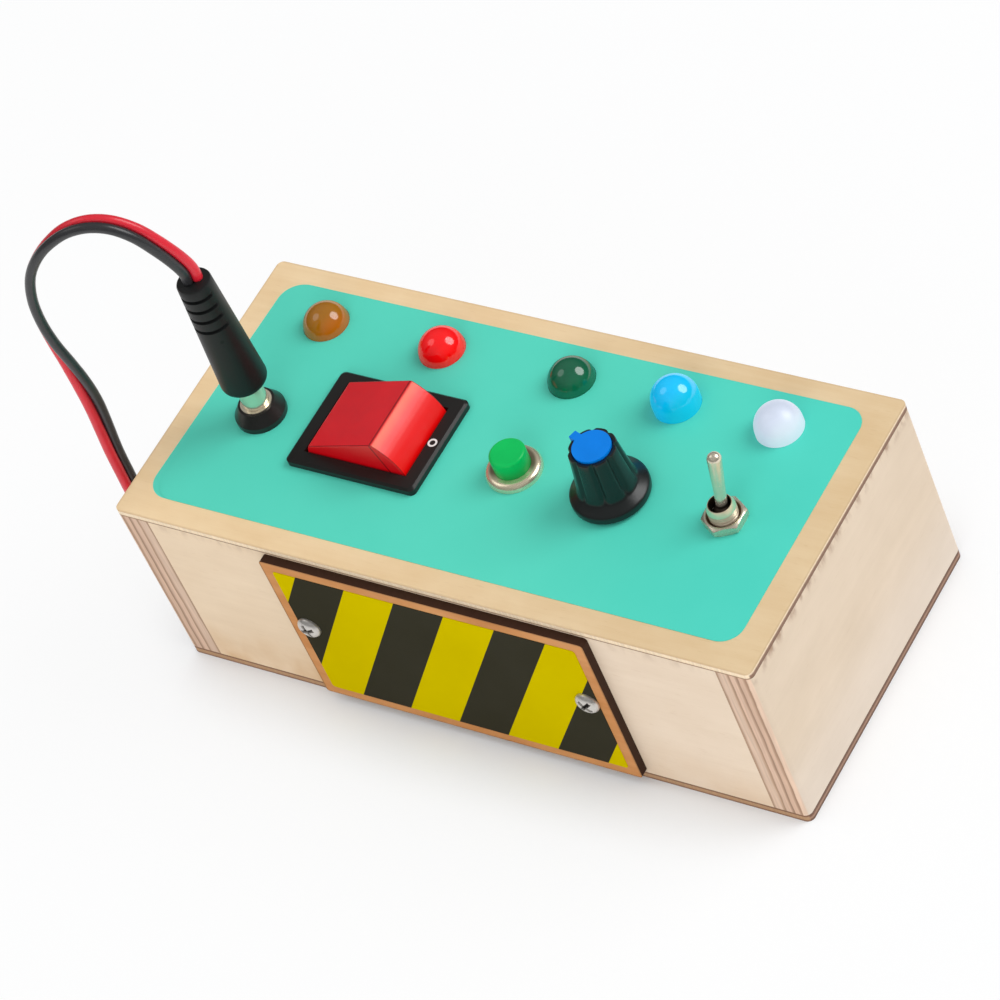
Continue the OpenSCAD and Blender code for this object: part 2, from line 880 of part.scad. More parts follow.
module button_cap() {
    r = button_d / 2;
    top = deck + button_rise - foot_z;
    color("limegreen")
        translate([button_x, button_y, foot_z])
            rotate_extrude() {
                square([foot_d / 2, foot_h]);
                square([r, top - button_round]);
                square([r - button_round, top]);
                translate([r - button_round, top - button_round])
                    intersection() {
                        circle(button_round);
                        square(button_round);
                    }
            }
}

module button_nut() {
    color("silver")
        translate([button_x, button_y, under - button_nut_h])
            difference() {
                hexagon(button_nut_af, button_nut_h);
                translate([0, 0, -cut])
                    cylinder(d = button_thread_d + 2 * seat_fit, h = button_nut_h + 2 * cut);
            }
}

module button_base() {
    color("#222222")
        translate([button_x, button_y, base_end])
            difference() {
                cylinder(d = base_d, h = base_depth);
                translate([0, 0, base_floor])
                    cylinder(d = base_d - 2 * base_wall, h = base_depth);
            }
}

function spring_point(a) = [
    spring_d / 2 * cos(a), spring_d / 2 * sin(a),
    spring_wire / 2 + (spring_h - spring_wire) * a / (360 * spring_turns)
];

module button_spring() {
    step = 45;
    angles = [0 : step : 360 * spring_turns];
    path = [for (a = angles) spring_point(a)];
    along = [for (i = [0 : len(path) - 1]) heading(path, i)];
    across = [for (a = angles) [cos(a), sin(a), 0]];
    section = [for (a = [0 : 60 : 300]) spring_wire / 2 * [cos(a), sin(a)]];
    echo(button_spring_gap = (spring_h - spring_wire) / spring_turns - spring_wire);
    color("silver")
        translate([button_x, button_y, spring_seat])
            sweep(path, along, across, section);
}

module button_pins() {
    color("silver")
        for (side = [-1, 1])
            translate([button_x + side * base_d / 4 - lug_w / 2, button_y - lug_t / 2, base_end - lug_l])
                cube([lug_w, lug_t, lug_l]);
}

// The knob and the dial control that it turns
module on_knob() {
    translate([knob_x, knob_y, deck])
        children();
}

// The grip's outline: broad lobes with narrow grooves between them, one of them under the pointer
module lobed(d) {
    turns = lobes * lobe_steps;
    polygon([
        for (i = [0 : turns - 1])
            let (a = 360 * i / turns, r = d / 2 - lobe_groove * pow(cos(lobes * a / 2), lobe_sharp))
            r * [cos(a + pointer_angle), sin(a + pointer_angle)]
    ]);
}

module knob_grip() {
    grip_h = knob_h - knob_gap;
    shoulder = skirt_edge + skirt_slope;
    color("#1a1a1a")
        on_knob()
            translate([0, 0, knob_gap])
                difference() {
                    union() {
                        rotate_extrude()
                            polygon([
                                [0, 0], [skirt_d / 2, 0], [skirt_d / 2, skirt_edge],
                                [skirt_d / 2 - skirt_bevel, skirt_edge + skirt_bevel],
                                [grip_foot_d / 2 - lobe_groove, shoulder],
                                [0, shoulder]
                            ]);
                        linear_extrude(grip_h, scale = grip_top_d / grip_foot_d)
                            lobed(grip_foot_d);
                    }
                    translate([0, 0, -cut])
                        cylinder(d = hollow_d, h = hollow_h - knob_gap + cut);
                    cylinder(d = bush_d + 2 * knob_over, h = bush_rise + knob_over - knob_gap);
                    cylinder(d = shaft_d + 2 * seat_fit, h = shaft_top - knob_gap + seat_fit);
                    translate([0, 0, grip_h - dial_recess])
                        cylinder(d = dial_d + 2 * seat_fit, h = dial_recess + cut);
                    rotate(pointer_angle)
                        translate([0, -pointer_w / 2 - seat_fit, grip_h - dial_recess])
                            cube([skirt_d, pointer_w + 2 * seat_fit, dial_recess + cut]);
                }
}

module knob_dial() {
    color("dodgerblue")
        on_knob()
            translate([0, 0, knob_h - dial_recess])
                linear_extrude(dial_recess + dial_rise) {
                    circle(d = dial_d);
                    rotate(pointer_angle)
                        translate([0, -pointer_w / 2])
                            square([grip_top_d / 2 + pointer_out, pointer_w]);
                }
}

module knob_shaft() {
    bottom = under - deck - shaft_in;
    color("silver")
        on_knob()
            translate([0, 0, bottom])
                cylinder(d = shaft_d, h = shaft_top - bottom);
}

module dial_bush() {
    color("silver")
        translate([knob_x, knob_y, under])
            tube(bush_d, shaft_d + 2 * run_fit, deck - under + bush_rise);
}

module dial_washer() {
    color("silver")
        on_knob()
            tube(dial_washer_d, bush_d + 2 * seat_fit, dial_washer_t);
}

module dial_nut() {
    color("silver")
        on_knob()
            translate([0, 0, dial_washer_t])
                difference() {
                    hexagon(dial_nut_af, dial_nut_h);
                    translate([0, 0, -cut])
                        cylinder(d = bush_d + 2 * seat_fit, h = dial_nut_h + 2 * cut);
                }
}

module dial_case() {
    color("dimgray")
        translate([knob_x, knob_y, under - case_depth])
            difference() {
                cylinder(d = case_d, h = case_depth);
                translate([0, 0, case_depth - shaft_in - run_fit])
                    cylinder(d = shaft_d + 2 * run_fit, h = case_depth);
            }
}

module dial_lugs() {
    color("silver")
        for (i = [-1, 0, 1])
            translate([knob_x + i * case_d / 4 - lug_w / 2, knob_y - lug_t / 2, under - case_depth - lug_l])
                cube([lug_w, lug_t, lug_l]);
}

// The toggle switch
module on_toggle(z) {
    translate([toggle_x, toggle_y, z])
        children();
}

module toggle_lever() {
    tip_r = lever_tip_d / 2;
    color("gainsboro")
        on_toggle(lever_z)
            rotate([-lever_lean, 0, 0])
                difference() {
                    union() {
                        rotate_extrude() {
                            polygon([
                                [0, -lever_tail], [lever_tail_d / 2, -lever_tail], [lever_tail_d / 2, 0],
                                [lever_root_d / 2, 0], [lever_root_d / 2, toggle_bush_rise],
                                [tip_r, lever_h - tip_r], [0, lever_h - tip_r]
                            ]);
                            translate([0, lever_h - tip_r])
                                intersection() {
                                    circle(tip_r);
                                    square(lever_tip_d);
                                }
                            intersection() {
                                circle(d = ball_d);
                                translate([0, -ball_d])
                                    square([ball_d, 2 * ball_d]);
                            }
                        }
                    }
                    rotate([0, 90, 0])
                        cylinder(d = pin_d + 2 * run_fit, h = ball_d + 2 * cut, center = true);
                }
}

module toggle_pivot_pin() {
    color("gray")
        on_toggle(lever_z)
            rotate([0, 90, 0])
                cylinder(d = pin_d, h = pin_l, center = true);
}

// The lever and its pin go in from below, up a slot in the wall of the bore
module pin_slot(h) {
    w = pin_d + 2 * seat_fit;
    l = pin_l + 2 * seat_fit;
    translate([-l / 2, -w / 2, -cut])
        cube([l, w, h + cut]);
    translate([0, 0, h])
        rotate([0, 90, 0])
            cylinder(d = w, h = l, center = true);
}

module toggle_bush() {
    bush_h = deck + toggle_bush_rise - toggle_base;
    color("silver")
        on_toggle(toggle_base)
            difference() {
                union() {
                    translate([-toggle_case_l / 2, -toggle_case_w / 2, 0])
                        cube([toggle_case_l, toggle_case_w, toggle_plate_t]);
                    cylinder(d = toggle_bush_d, h = bush_h - 2 * bush_bevel);
                    translate([0, 0, bush_h - 2 * bush_bevel])
                        cylinder(d1 = toggle_bush_d, d2 = toggle_bush_d - 2 * bush_bevel, h = 2 * bush_bevel);
                }
                translate([0, 0, -cut])
                    cylinder(d = toggle_bore, h = bush_h + 2 * cut);
                pin_slot(lever_z - toggle_base);
            }
}

module nut_on_toggle(h) {
    difference() {
        hexagon(toggle_nut_af, h);
        translate([0, 0, -cut])
            cylinder(d = toggle_bush_d + 2 * seat_fit, h = h + 2 * cut);
    }
}

module toggle_nut() {
    color("silver")
        on_toggle(deck)
            rotate(nut_turn)
                nut_on_toggle(toggle_nut_h);
}

module toggle_back_nut() {
    color("silver")
        on_toggle(under - back_nut_h)
            nut_on_toggle(back_nut_h);
}

module toggle_case() {
    color("steelblue")
        on_toggle(toggle_base - toggle_case_depth)
            difference() {
                translate([-toggle_case_l / 2, -toggle_case_w / 2, 0])
                    cube([toggle_case_l, toggle_case_w, toggle_case_depth]);
                translate([0, 0, toggle_case_depth - pocket_h])
                    cylinder(d = pocket_d, h = pocket_h + cut);
            }
}

module toggle_lugs() {
    color("silver")
        for (i = [-1, 0, 1])
            on_toggle(toggle_base - toggle_case_depth - lug_l)
                translate([-lug_w / 2, i * toggle_case_w / 3 - lug_t / 2, 0])
                    cube([lug_w, lug_t, lug_l]);
}

// The power socket
module on_jack(z) {
    translate([jack_x, jack_y, z])
        children();
}

module jack_collar() {
    inner = sleeve_d / 2 + seat_fit;
    edge = collar_d / 2;
    lip = inner + collar_lip;
    color("#1a1a1a")
        on_jack(deck)
            difference() {
                rotate_extrude()
                    polygon([
                        [0, -jack_depth], [jack_thread_d / 2, -jack_depth], [jack_thread_d / 2, 0], [edge, 0],
                        [edge, collar_h / 3], [edge - collar_bevel, collar_h / 2], [lip, collar_h],
                        [0, collar_h]
                    ]);
                translate([0, 0, socket_floor - deck])
                    cylinder(r = inner, h = jack_depth + collar_h);
                translate([0, 0, -jack_depth - cut])
                    cylinder(d = centre_d + 2 * seat_fit, h = jack_depth + cut);
            }
}

module jack_sleeve() {
    color("silver")
        on_jack(socket_floor)
            tube(sleeve_d, sleeve_d - 2 * sleeve_wall, mouth + sleeve_out - socket_floor);
}

module jack_centre_pin() {
    color("gold")
        on_jack(jack_end)
            cylinder(d = centre_d, h = mouth - pin_below - jack_end);
}

module jack_nut() {
    color("silver")
        on_jack(under - jack_nut_h)
            difference() {
                hexagon(jack_nut_af, jack_nut_h);
                translate([0, 0, -cut])
                    cylinder(d = jack_thread_d + 2 * seat_fit, h = jack_nut_h + 2 * cut);
            }
}

module jack_lugs() {
    color("silver")
        for (side = [-1, 1])
            on_jack(jack_end - lug_l)
                translate([side * jack_thread_d / 3 - lug_t / 2, -lug_w / 2, 0])
                    cube([lug_t, lug_w, lug_l]);
}

// The plug
function plug_radius(z) = (plug_foot_d + (plug_head_d - plug_foot_d) * z / plug_l) / 2;

module groove(z) {
    translate([0, 0, z])
        difference() {
            cylinder(d = plug_foot_d + 2 * cut, h = groove_w);
            translate([0, 0, -cut])
                cylinder(r = plug_radius(z) - groove_depth, h = groove_w + 2 * cut);
        }
}

module plug_body() {
    foot = plug_radius(plug_round);
    color("#1a1a1a")
        on_jack(plug_foot)
            difference() {
                rotate_extrude() {
                    polygon([
                        [0, 0], [foot - plug_round, 0], [foot, plug_round], [plug_radius(plug_l), plug_l],
                        [0, plug_l]
                    ]);
                    translate([foot - plug_round, plug_round])
                        intersection() {
                            circle(plug_round);
                            translate([0, -plug_round])
                                square(plug_round);
                        }
                }
                for (i = [0 : grooves - 1])
                    groove(plug_l - groove_start - i * groove_pitch);
                translate([0, 0, -cut])
                    cylinder(d = barrel_d + 2 * seat_fit, h = barrel_in + cut);
            }
}

module plug_barrel() {
    color("silver")
        on_jack(plug_foot - barrel_l)
            tube(barrel_d, barrel_hole + 2 * (liner_wall + seat_fit), barrel_l + barrel_in);
}

module plug_liner() {
    color("black")
        on_jack(plug_foot - barrel_l)
            tube(barrel_hole + 2 * liner_wall, barrel_hole, barrel_l + barrel_in);
}

module power_lead() {
    color("crimson")
        lead(lead_route);
}

module battery_lead() {
    color("crimson")
        lead(inner_route);
}

// A wire from the underside of a to the underside of b, hanging in a shallow loop
module wire(a, b) {
    down = [0, 0, -wire_drop];
    half = down / 2;
    low = [(a[0] + b[0]) / 2, (a[1] + b[1]) / 2, min(a[2], b[2]) - wire_drop];
    path = [a, a + half, a + (b - a) / 6 + down, low, b + (a - b) / 6 + down, b + half, b];
    along = [for (i = [0 : len(path) - 1]) heading(path, i)];
    across = [for (t = along) unit(cross(t, [b[1] - a[1], a[0] - b[0], 0]))];
    section = [for (turn = [0 : 45 : 315]) wire_d / 2 * [cos(turn), sin(turn)]];
    sweep(path, along, across, section);
}

// Each switch feeds the lamp behind it
module hookup_wires() {
    foot = [for (p = lamp_places) [p[0] + leg_gap / 2, lamp_y, deck + p[1] - lamp_h - leg_l]];
    jack_lug = [jack_x + jack_thread_d / 3, jack_y, jack_end - lug_l];
    rocker_tab = [rocker_x + tab_pitch, rocker_y, deck - housing_depth - tab_l];
    button_pin = [button_x + base_d / 4, button_y, base_end - lug_l];
    dial_lug = [knob_x + case_d / 4, knob_y, under - case_depth - lug_l];
    toggle_lug = [toggle_x, toggle_y + toggle_case_w / 3, toggle_base - toggle_case_depth - lug_l];
    color("royalblue") {
        wire(jack_lug, foot[0]);
        wire(rocker_tab, foot[1]);
        wire(button_pin, foot[2]);
        wire(dial_lug, foot[3]);
        wire(toggle_lug, foot[4]);
    }
}

// The battery, its snaps, the plate that snaps onto it and the clip that holds it
module on_battery() {
    translate([0, battery_y, battery_z])
        children();
}

module battery() {
    color("dimgray")
        on_battery()
            along_x(battery_l)
                translate([0, battery_h / 2])
                    rounded(battery_w, battery_h, battery_r);
}

// The smaller snap is in front, the larger behind, both pointing left
module battery_snaps() {
    color("silver")
        for (side = [-1, 1])
            translate([snap_x, battery_y + side * snap_pitch / 2, battery_z + battery_h / 2])
                rotate([0, -90, 0]) {
                    if (side < 0)
                        cylinder(d = stud_d, h = snap_h);
                    else
                        tube(snap_d, stud_d + 2 * run_fit, snap_h);
                }
}

module snap_plate() {
    color("#222222")
        translate([plate_x, battery_y, battery_z + battery_h / 2]) {
            translate([0, -plate_w / 2, -plate_h / 2])
                cube([plate_t, plate_w, plate_h]);
            for (side = [-1, 1])
                translate([plate_t, side * snap_pitch / 2, 0])
                    rotate([0, 90, 0]) {
                        if (side > 0)
                            cylinder(d = stud_d, h = snap_h);
                        else
                            tube(snap_d, stud_d + 2 * run_fit, snap_h);
                    }
        }
}

module battery_clip() {
    inner = battery_w + 2 * seat_fit;
    color("silver")
        translate([0, battery_y, bottom_t])
            along_x(clip_w)
                difference() {
                    translate([-inner / 2 - clip_t, 0])
                        square([inner + 2 * clip_t, clip_h]);
                    translate([-inner / 2, clip_t])
                        square([inner, clip_h]);
                }
}

// The battery door
module screw_places() {
    for (side = [-1, 1])
        translate([side * screw_pitch / 2, front, screw_z])
            rotate([-90, 0, 0])
                children();
}

// A sheet that stands against the front, t thick, with its back at y
module front_sheet(l, h, r, t, y) {
    translate([0, y, door_z])
        rotate([90, 0, 0])
            linear_extrude(t)
                difference() {
                    rounded(l, h, r);
                    for (side = [-1, 1])
                        translate([side * screw_pitch / 2, screw_up])
                            circle(d = shank_d + 2 * seat_fit);
                }
}

module battery_door() {
    color("sienna")
        front_sheet(door_l, door_h, door_r, door_t, front);
}

module striped_label() {
    color("gold")
        front_sheet(door_l - 2 * label_rim, door_h - 2 * label_rim, door_r, label_t, door_front);
}

module door_screws() {
    dome = (pow(head_d / 2, 2) + pow(head_h, 2)) / (2 * head_h);
    color("silver")
        screw_places()
            translate([0, 0, -door_t - label_t])
                difference() {
                    rotate_extrude() {
                        square([shank_d / 2, shank_l]);
                        intersection() {
                            translate([0, dome - head_h])
                                circle(dome);
                            translate([0, -head_h])
                                square([head_d / 2, head_h]);
                        }
                    }
                    for (turn = [0, 90])
                        rotate(turn)
                            translate([0, 0, -head_h])
                                cube([cross_l, cross_w, 2 * cross_depth], center = true);
                }
}

top_panel();
coloured_face();
front_wall();
back_wall();
left_wall();
right_wall();
bottom_panel();
amber_lamp();
red_lamp();
green_lamp();
blue_lamp();
white_lamp();
lamp_legs();
rocker_housing();
rocker_cap();
rocker_plunger();
rocker_contact();
rocker_tabs();
button_ring();
button_cap();
button_nut();
button_base();
button_spring();
button_pins();
knob_grip();
knob_dial();
knob_shaft();
dial_bush();
dial_washer();
dial_nut();
dial_case();
dial_lugs();
toggle_lever();
toggle_pivot_pin();
toggle_bush();
toggle_nut();
toggle_back_nut();
toggle_case();
toggle_lugs();
jack_collar();
jack_sleeve();
jack_centre_pin();
jack_nut();
jack_lugs();
plug_body();
plug_barrel();
plug_liner();
power_lead();
battery_lead();
hookup_wires();
battery();
battery_snaps();
snap_plate();
battery_clip();
battery_door();
striped_label();
door_screws();
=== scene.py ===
# %% [markdown]
# # A toddler's switch box
# The object is a small plywood box with lamps and switches on its top. A short red and black
# lead leaves its left side, turns over in an arch and plugs into a socket on the same face.
# The CAD part gives every piece its place. This script gives the pieces their looks.
# Lengths in the lesson are in millimetres, and they become metres where a mesh is made.

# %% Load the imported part
import math

import bmesh
import bpy
import numpy as np
from mathutils import Matrix, Vector


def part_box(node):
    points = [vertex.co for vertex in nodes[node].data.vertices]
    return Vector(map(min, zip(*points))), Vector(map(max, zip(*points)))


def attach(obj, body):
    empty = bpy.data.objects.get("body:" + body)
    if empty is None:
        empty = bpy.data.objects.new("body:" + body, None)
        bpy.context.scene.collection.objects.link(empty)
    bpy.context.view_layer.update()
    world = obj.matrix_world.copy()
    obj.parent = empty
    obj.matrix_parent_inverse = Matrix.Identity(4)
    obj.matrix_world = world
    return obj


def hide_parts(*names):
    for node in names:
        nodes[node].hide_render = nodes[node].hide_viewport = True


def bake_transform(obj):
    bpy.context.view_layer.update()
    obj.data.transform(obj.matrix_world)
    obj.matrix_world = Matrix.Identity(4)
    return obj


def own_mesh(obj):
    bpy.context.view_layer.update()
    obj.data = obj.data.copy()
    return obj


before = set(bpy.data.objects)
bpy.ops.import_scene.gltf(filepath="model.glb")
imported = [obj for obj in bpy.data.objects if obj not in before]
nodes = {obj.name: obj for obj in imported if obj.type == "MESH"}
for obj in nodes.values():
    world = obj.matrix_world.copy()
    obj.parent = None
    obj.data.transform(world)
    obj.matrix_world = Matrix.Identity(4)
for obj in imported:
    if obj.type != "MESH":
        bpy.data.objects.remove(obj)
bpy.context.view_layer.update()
scene = bpy.context.scene
MM = 0.001


def box_mm(name):
    """The lowest and the highest corner of a node of the part, in millimetres."""
    return [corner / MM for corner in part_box(name)]


def placed(name, data):
    """A new object in the scene that shows this data."""
    made = bpy.data.objects.new(name, data)
    scene.collection.objects.link(made)
    return made


print("nodes in the part:", len(nodes))

# %% [markdown]
# ## The camera
# The place and the turn of the camera were worked out from the corners of the box in the
# photograph. A long lens keeps the box's edges almost parallel, and the camera is rolled, so
# the box seems to slide down to the right.

# %% Camera
camera_data = bpy.data.cameras.new("camera")
camera_data.sensor_width = 36
camera_data.lens = 171.3
camera_data.clip_start = 0.02
camera_data.clip_end = 20
camera = placed("camera", camera_data)
eye = Vector((484.4, -437.3, 729.6)) * MM
looked_at = Vector((-6.3, 0.4, 31.5)) * MM
roll = Matrix.Rotation(math.radians(-25.26), 3, "Z")
aim = (looked_at - eye).to_track_quat("-Z", "Y").to_matrix()
camera.location = eye
camera.rotation_euler = (aim @ roll).to_euler()
scene.camera = camera
print("camera is", round((looked_at - eye).length, 3), "m from the box")

# %% [markdown]
# ## Small helpers for meshes
# Most pieces are a stack of rings with a skin between them. A round piece is turned from an
# outline, as on a lathe, which is a stack of circles. Soft corners come from extra rings and
# points near an edge, because real moulded and machined edges are never quite sharp.

# %% A new piece of the scene
def new_piece(name, shape, material, stands_for, body="box", sharp=38):
    """A mesh piece that rides on a body and stands for a node. Its points are in millimetres."""
    points, faces = shape
    mesh = bpy.data.meshes.new(name)
    mesh.from_pydata([tuple(Vector(p) * MM) for p in points], [], faces)
    shell = bmesh.new()
    shell.from_mesh(mesh)
    bmesh.ops.recalc_face_normals(shell, faces=shell.faces)
    shell.to_mesh(mesh)
    shell.free()
    mesh.shade_smooth()
    mesh.set_sharp_from_angle(angle=math.radians(sharp))
    mesh.materials.append(material.made)
    piece = placed(name, mesh)
    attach(piece, body)
    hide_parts(stands_for)
    return piece


print("new pieces ride, stand for a node and have a slot")


# %% Rings and skins
def angles(count):
    """Equal steps round a full turn."""
    return np.linspace(0, 2 * math.pi, count, endpoint=False)


def round_point(place, radius, angle, height):
    """A point at a radius and an angle from an upright axis."""
    return place[0] + radius * math.cos(angle), place[1] + radius * math.sin(angle), height


def stacked(levels, count, point_at):
    """A ring of points for each level. point_at makes a point from a level and an angle."""
    return [[point_at(level, angle) for angle in angles(count)] for level in levels]


def skin(rings, loop=False):
    """Points and faces of a skin over rings. It is capped at both ends, or joined in a loop."""
    size = len(rings[0])
    points = [p for ring in rings for p in ring]
    faces = []
    for i in range(len(rings) if loop else len(rings) - 1):
        low, high = i * size, (i + 1) % len(rings) * size
        for j in range(size):
            k = (j + 1) % size
            faces.append((low + j, low + k, high + k, high + j))
    if not loop:
        faces.append(tuple(range(size - 1, -1, -1)))
        faces.append(tuple((len(rings) - 1) * size + j for j in range(size)))
    return points, faces


def turned(outline, place, steps, loop=False):
    """Points and faces of an outline of (radius, height) turned about an upright axis."""
    def point_at(level, angle):
        return round_point(place, level[0], angle, level[1])

    return skin(stacked(outline, steps, point_at), loop)


def merged(*shapes):
    """Several sets of points and faces as one."""
    points, faces = [], []
    for more_points, more_faces in shapes:
        first = len(points)
        points += list(more_points)
        faces += [tuple(first + v for v in face) for face in more_faces]
    return points, faces


print("rings and skins are ready")

# %% [markdown]
# ## Small helpers for materials
# A material is a tree of nodes that ends in one shader. What a node puts out is kept as a value.
# Values are added, multiplied and so on like numbers, and each such step adds a node to the tree.
# Effects that several materials share, such as wood grain, are groups with named inputs and outputs.

# %% Values
class Value:
    """What a node puts out. A step with values and numbers adds a node."""

    def __init__(self, socket):
        self.socket = socket

    def __add__(self, other):
        return calc("ADD", self, other)

    def __sub__(self, other):
        return calc("SUBTRACT", self, other)

    def __rsub__(self, other):
        return calc("SUBTRACT", other, self)

    def __mul__(self, other):
        return calc("MULTIPLY", self, other)

    def __truediv__(self, other):
        return calc("DIVIDE", self, other)

    def __abs__(self):
        return calc("ABSOLUTE", self)


def add(tree, kind, **settings):
    """A new node with these settings."""
    made = tree.nodes.new("ShaderNode" + kind)
    for key, value in settings.items():
        setattr(made, key, value)
    return made


def feed(sockets, *parts):
    """Puts numbers, vectors, colours of three parts or values into sockets."""
    for socket, part in zip(sockets, parts):
        if isinstance(part, Value):
            socket.id_data.links.new(part.socket, socket)
        else:
            socket.default_value = part + (1,) if socket.type == "RGBA" else part


def feed_named(node, **values):
    """Does the same with the inputs that have these names."""
    feed([node.inputs[label] for label in values], *values.values())


def outputs(node):
    """All that a node puts out, by name."""
    return {socket.name: Value(socket) for socket in node.outputs}


print("values are ready")


# %% Steps with values
def step(kind, *parts, into=None, **settings):
    """What a new node puts out. It joins the tree of the first value among the parts it is fed."""
    made = add(next(p.socket.id_data for p in parts if isinstance(p, Value)), kind, **settings)
    feed([made.inputs[place] for place in into or range(len(parts))], *parts)
    return [Value(socket) for socket in made.outputs]


def calc(operation, *parts, clamp=False):
    """One step of arithmetic."""
    return step("Math", *parts, operation=operation, use_clamp=clamp)[0]


def scaled(value, by, plus, clamp=False):
    """The value times by, and plus."""
    return calc("MULTIPLY_ADD", value, by, plus, clamp=clamp)


def length(a, b):
    """How far a point is from the origin that lies a along and b across."""
    return calc("SQRT", scaled(a, a, b * b))


def between(value, low, high):
    """0 below low, 1 above high, and a smooth step between them."""
    return step("MapRange", value, low, high, interpolation_type="SMOOTHSTEP")[0]


def fading(value, low, high):
    """1 below low, 0 above high, and a smooth step between them."""
    return 1 - between(value, low, high)


def blend(share, a, b, how="MIX"):
    """The colour a where the share is 0, b where it is 1."""
    return step("Mix", share, a, b, into=(0, 6, 7), data_type="RGBA", blend_type=how)[2]


def tinted(colour, value, low, high):
    """The colour made darker or lighter by a value from 0 to 1."""
    return blend(1.0, colour, scaled(value, high - low, low), "MULTIPLY")


def ramp(value, stops):
    """A colour that runs through the stops, each a place from 0 to 1 and a colour."""
    made = add(value.socket.id_data, "ValToRGB")
    feed(made.inputs, value)
    line = made.color_ramp.elements
    line.remove(line[1])
    line[0].position = stops[0][0]
    line[0].color = stops[0][1] + (1,)
    for place, colour in stops[1:]:
        line.new(place).color = colour + (1,)
    return outputs(made)["Color"]


def xyz(vector):
    return step("SeparateXYZ", vector)


def measure(operation, vector, other):
    """A number worked out from a vector and a fixed one."""
    return step("VectorMath", vector, other, operation=operation)[1]


print("steps with values are ready")

# %% Materials
class Paint:
    """A tree of nodes that paints by the place on the surface, a vector in millimetres."""

    def noise(self, scale, detail=3.0):
        """Noise with one scale for all axes or one for each, in waves per millimetre."""
        scales = scale if isinstance(scale, tuple) else (scale,) * 3
        place = step("Mapping", self.vector, scales, into=("Vector", "Scale"))[0]
        return step("TexNoise", place, 1, detail, 0.55, into=("Vector", "Scale", "Detail", "Roughness"))[0]

    def use(self, group, **values):
        """Places a shared group and feeds its named inputs."""
        made = add(self.tree, "Group", node_tree=group.tree)
        feed_named(made, **{"Vector": self.vector, **values})
        return outputs(made)


class Material(Paint):
    """A material with one shader. Its x, y and z are the place on the object."""

    def __init__(self, name, **values):
        self.made = bpy.data.materials.new(name)
        self.made.use_nodes = True
        self.tree = self.made.node_tree
        self.shader = self.tree.nodes["Principled BSDF"]
        self.put(**values)
        place = outputs(add(self.tree, "TexCoord"))["Object"]
        self.vector = step("VectorMath", place, 1 / MM, into=(0, 3), operation="SCALE")[0]
        self.x, self.y, self.z = xyz(self.vector)

    def put(self, **values):
        """Puts numbers, colours or values on the shader. base_color stands for its Base Color."""
        labels = [label.replace("_", " ").title().replace("Ior", "IOR") for label in values]
        feed_named(self.shader, **dict(zip(labels, values.values())))

    def over(self, share, colour, how="MIX"):
        """Paints a colour over the kept one where the share is 1."""
        self.colour = blend(share, self.colour, colour, how)
        self.put(base_color=self.colour)

    def bump(self, height, strength, distance):
        names = ("Height", "Strength", "Distance")
        self.put(normal=step("Bump", height, strength, distance, into=names)[0])

    def from_axis(self, place):
        """The distance from an upright axis."""
        return length(self.x - place[0], self.y - place[1])

    def normal(self):
        return outputs(add(self.tree, "NewGeometry"))["Normal"]

    def facing(self, axis):
        """1 where the surface looks along an axis (0, 1 or 2 for X, Y or Z), with a soft step."""
        return between(abs(xyz(self.normal())[axis]), 0.6, 0.8)


def dress(material, *names):
    """Puts a material in every slot of these nodes of the part."""
    for name in names:
        for place in nodes[name].material_slots:
            place.material = material.made


print("materials are ready")

# %% Groups
SOCKETS = {"Vector": "Vector", "Colour": "Color", "Pale": "Color", "Dark": "Color"}


class Group(Paint):
    """Nodes that several materials share, with named inputs and outputs."""

    def __init__(self, name, takes, gives):
        self.tree = bpy.data.node_groups.new(name, "ShaderNodeTree")
        for way, labels in (("INPUT", takes), ("OUTPUT", gives)):
            for label in labels.split():
                kind = "NodeSocket" + SOCKETS.get(label, "Float")
                self.tree.interface.new_socket(name=label, in_out=way, socket_type=kind)
        self.source = outputs(self.tree.nodes.new("NodeGroupInput"))
        self.drain = self.tree.nodes.new("NodeGroupOutput")
        self.vector = self.source["Vector"]

    def give(self, **values):
        feed_named(self.drain, **values)


print("groups are ready")

# %% [markdown]
# ## The floor and the light
# The box was photographed on a white sweep in very soft light. A pale sky gives the softness.
# A broad lamp high on the right and behind gives each control its highlight and its faint shadow
# to the left, a weaker lamp on the left gives the second highlight, and one in front fills, which
# leaves no highlight of its own. Shiny pieces need something dark to mirror, so the sky that
# reflections see is a dim one, darkest low down.
# Most of what the camera sees of the open floor is plain white, so its shadow stays faint. Close to
# the box the white gives way, which leaves a soft dark band where the box meets the floor.

# %% Floor
WHITE_SHARE = 0.88
CORNER_REACH = 0.026
sweep = Material("white_sweep", roughness=0.9)
sweep.put(base_color=blend(sweep.noise(0.02, 2), (0.92, 0.94, 0.96), (0.94, 0.96, 0.98)))
rays = outputs(add(sweep.tree, "LightPath"))
seen = calc("MAXIMUM", rays["Is Glossy Ray"], rays["Is Transmission Ray"])
seen = calc("MAXIMUM", rays["Is Camera Ray"], seen)
shelter = add(sweep.tree, "AmbientOcclusion", samples=8)
feed_named(shelter, Distance=CORNER_REACH)
open_floor = between(outputs(shelter)["AO"], 0.3, 0.95)
lit = outputs(sweep.shader)["BSDF"]
plain_white = outputs(add(sweep.tree, "Emission"))["Emission"]
both = step("MixShader", seen * WHITE_SHARE * open_floor, lit, plain_white)[0]
feed_named(sweep.tree.nodes["Material Output"], Surface=both)
floor_mesh = bpy.data.meshes.new("sweep")
floor_mesh.from_pydata([(-3, -3, 0), (3, -3, 0), (3, 3, 0), (-3, 3, 0)], [], [(0, 1, 2, 3)])
floor_mesh.materials.append(sweep.made)
floor = placed("sweep", floor_mesh)
print("floor is", floor.dimensions.x, "m wide")

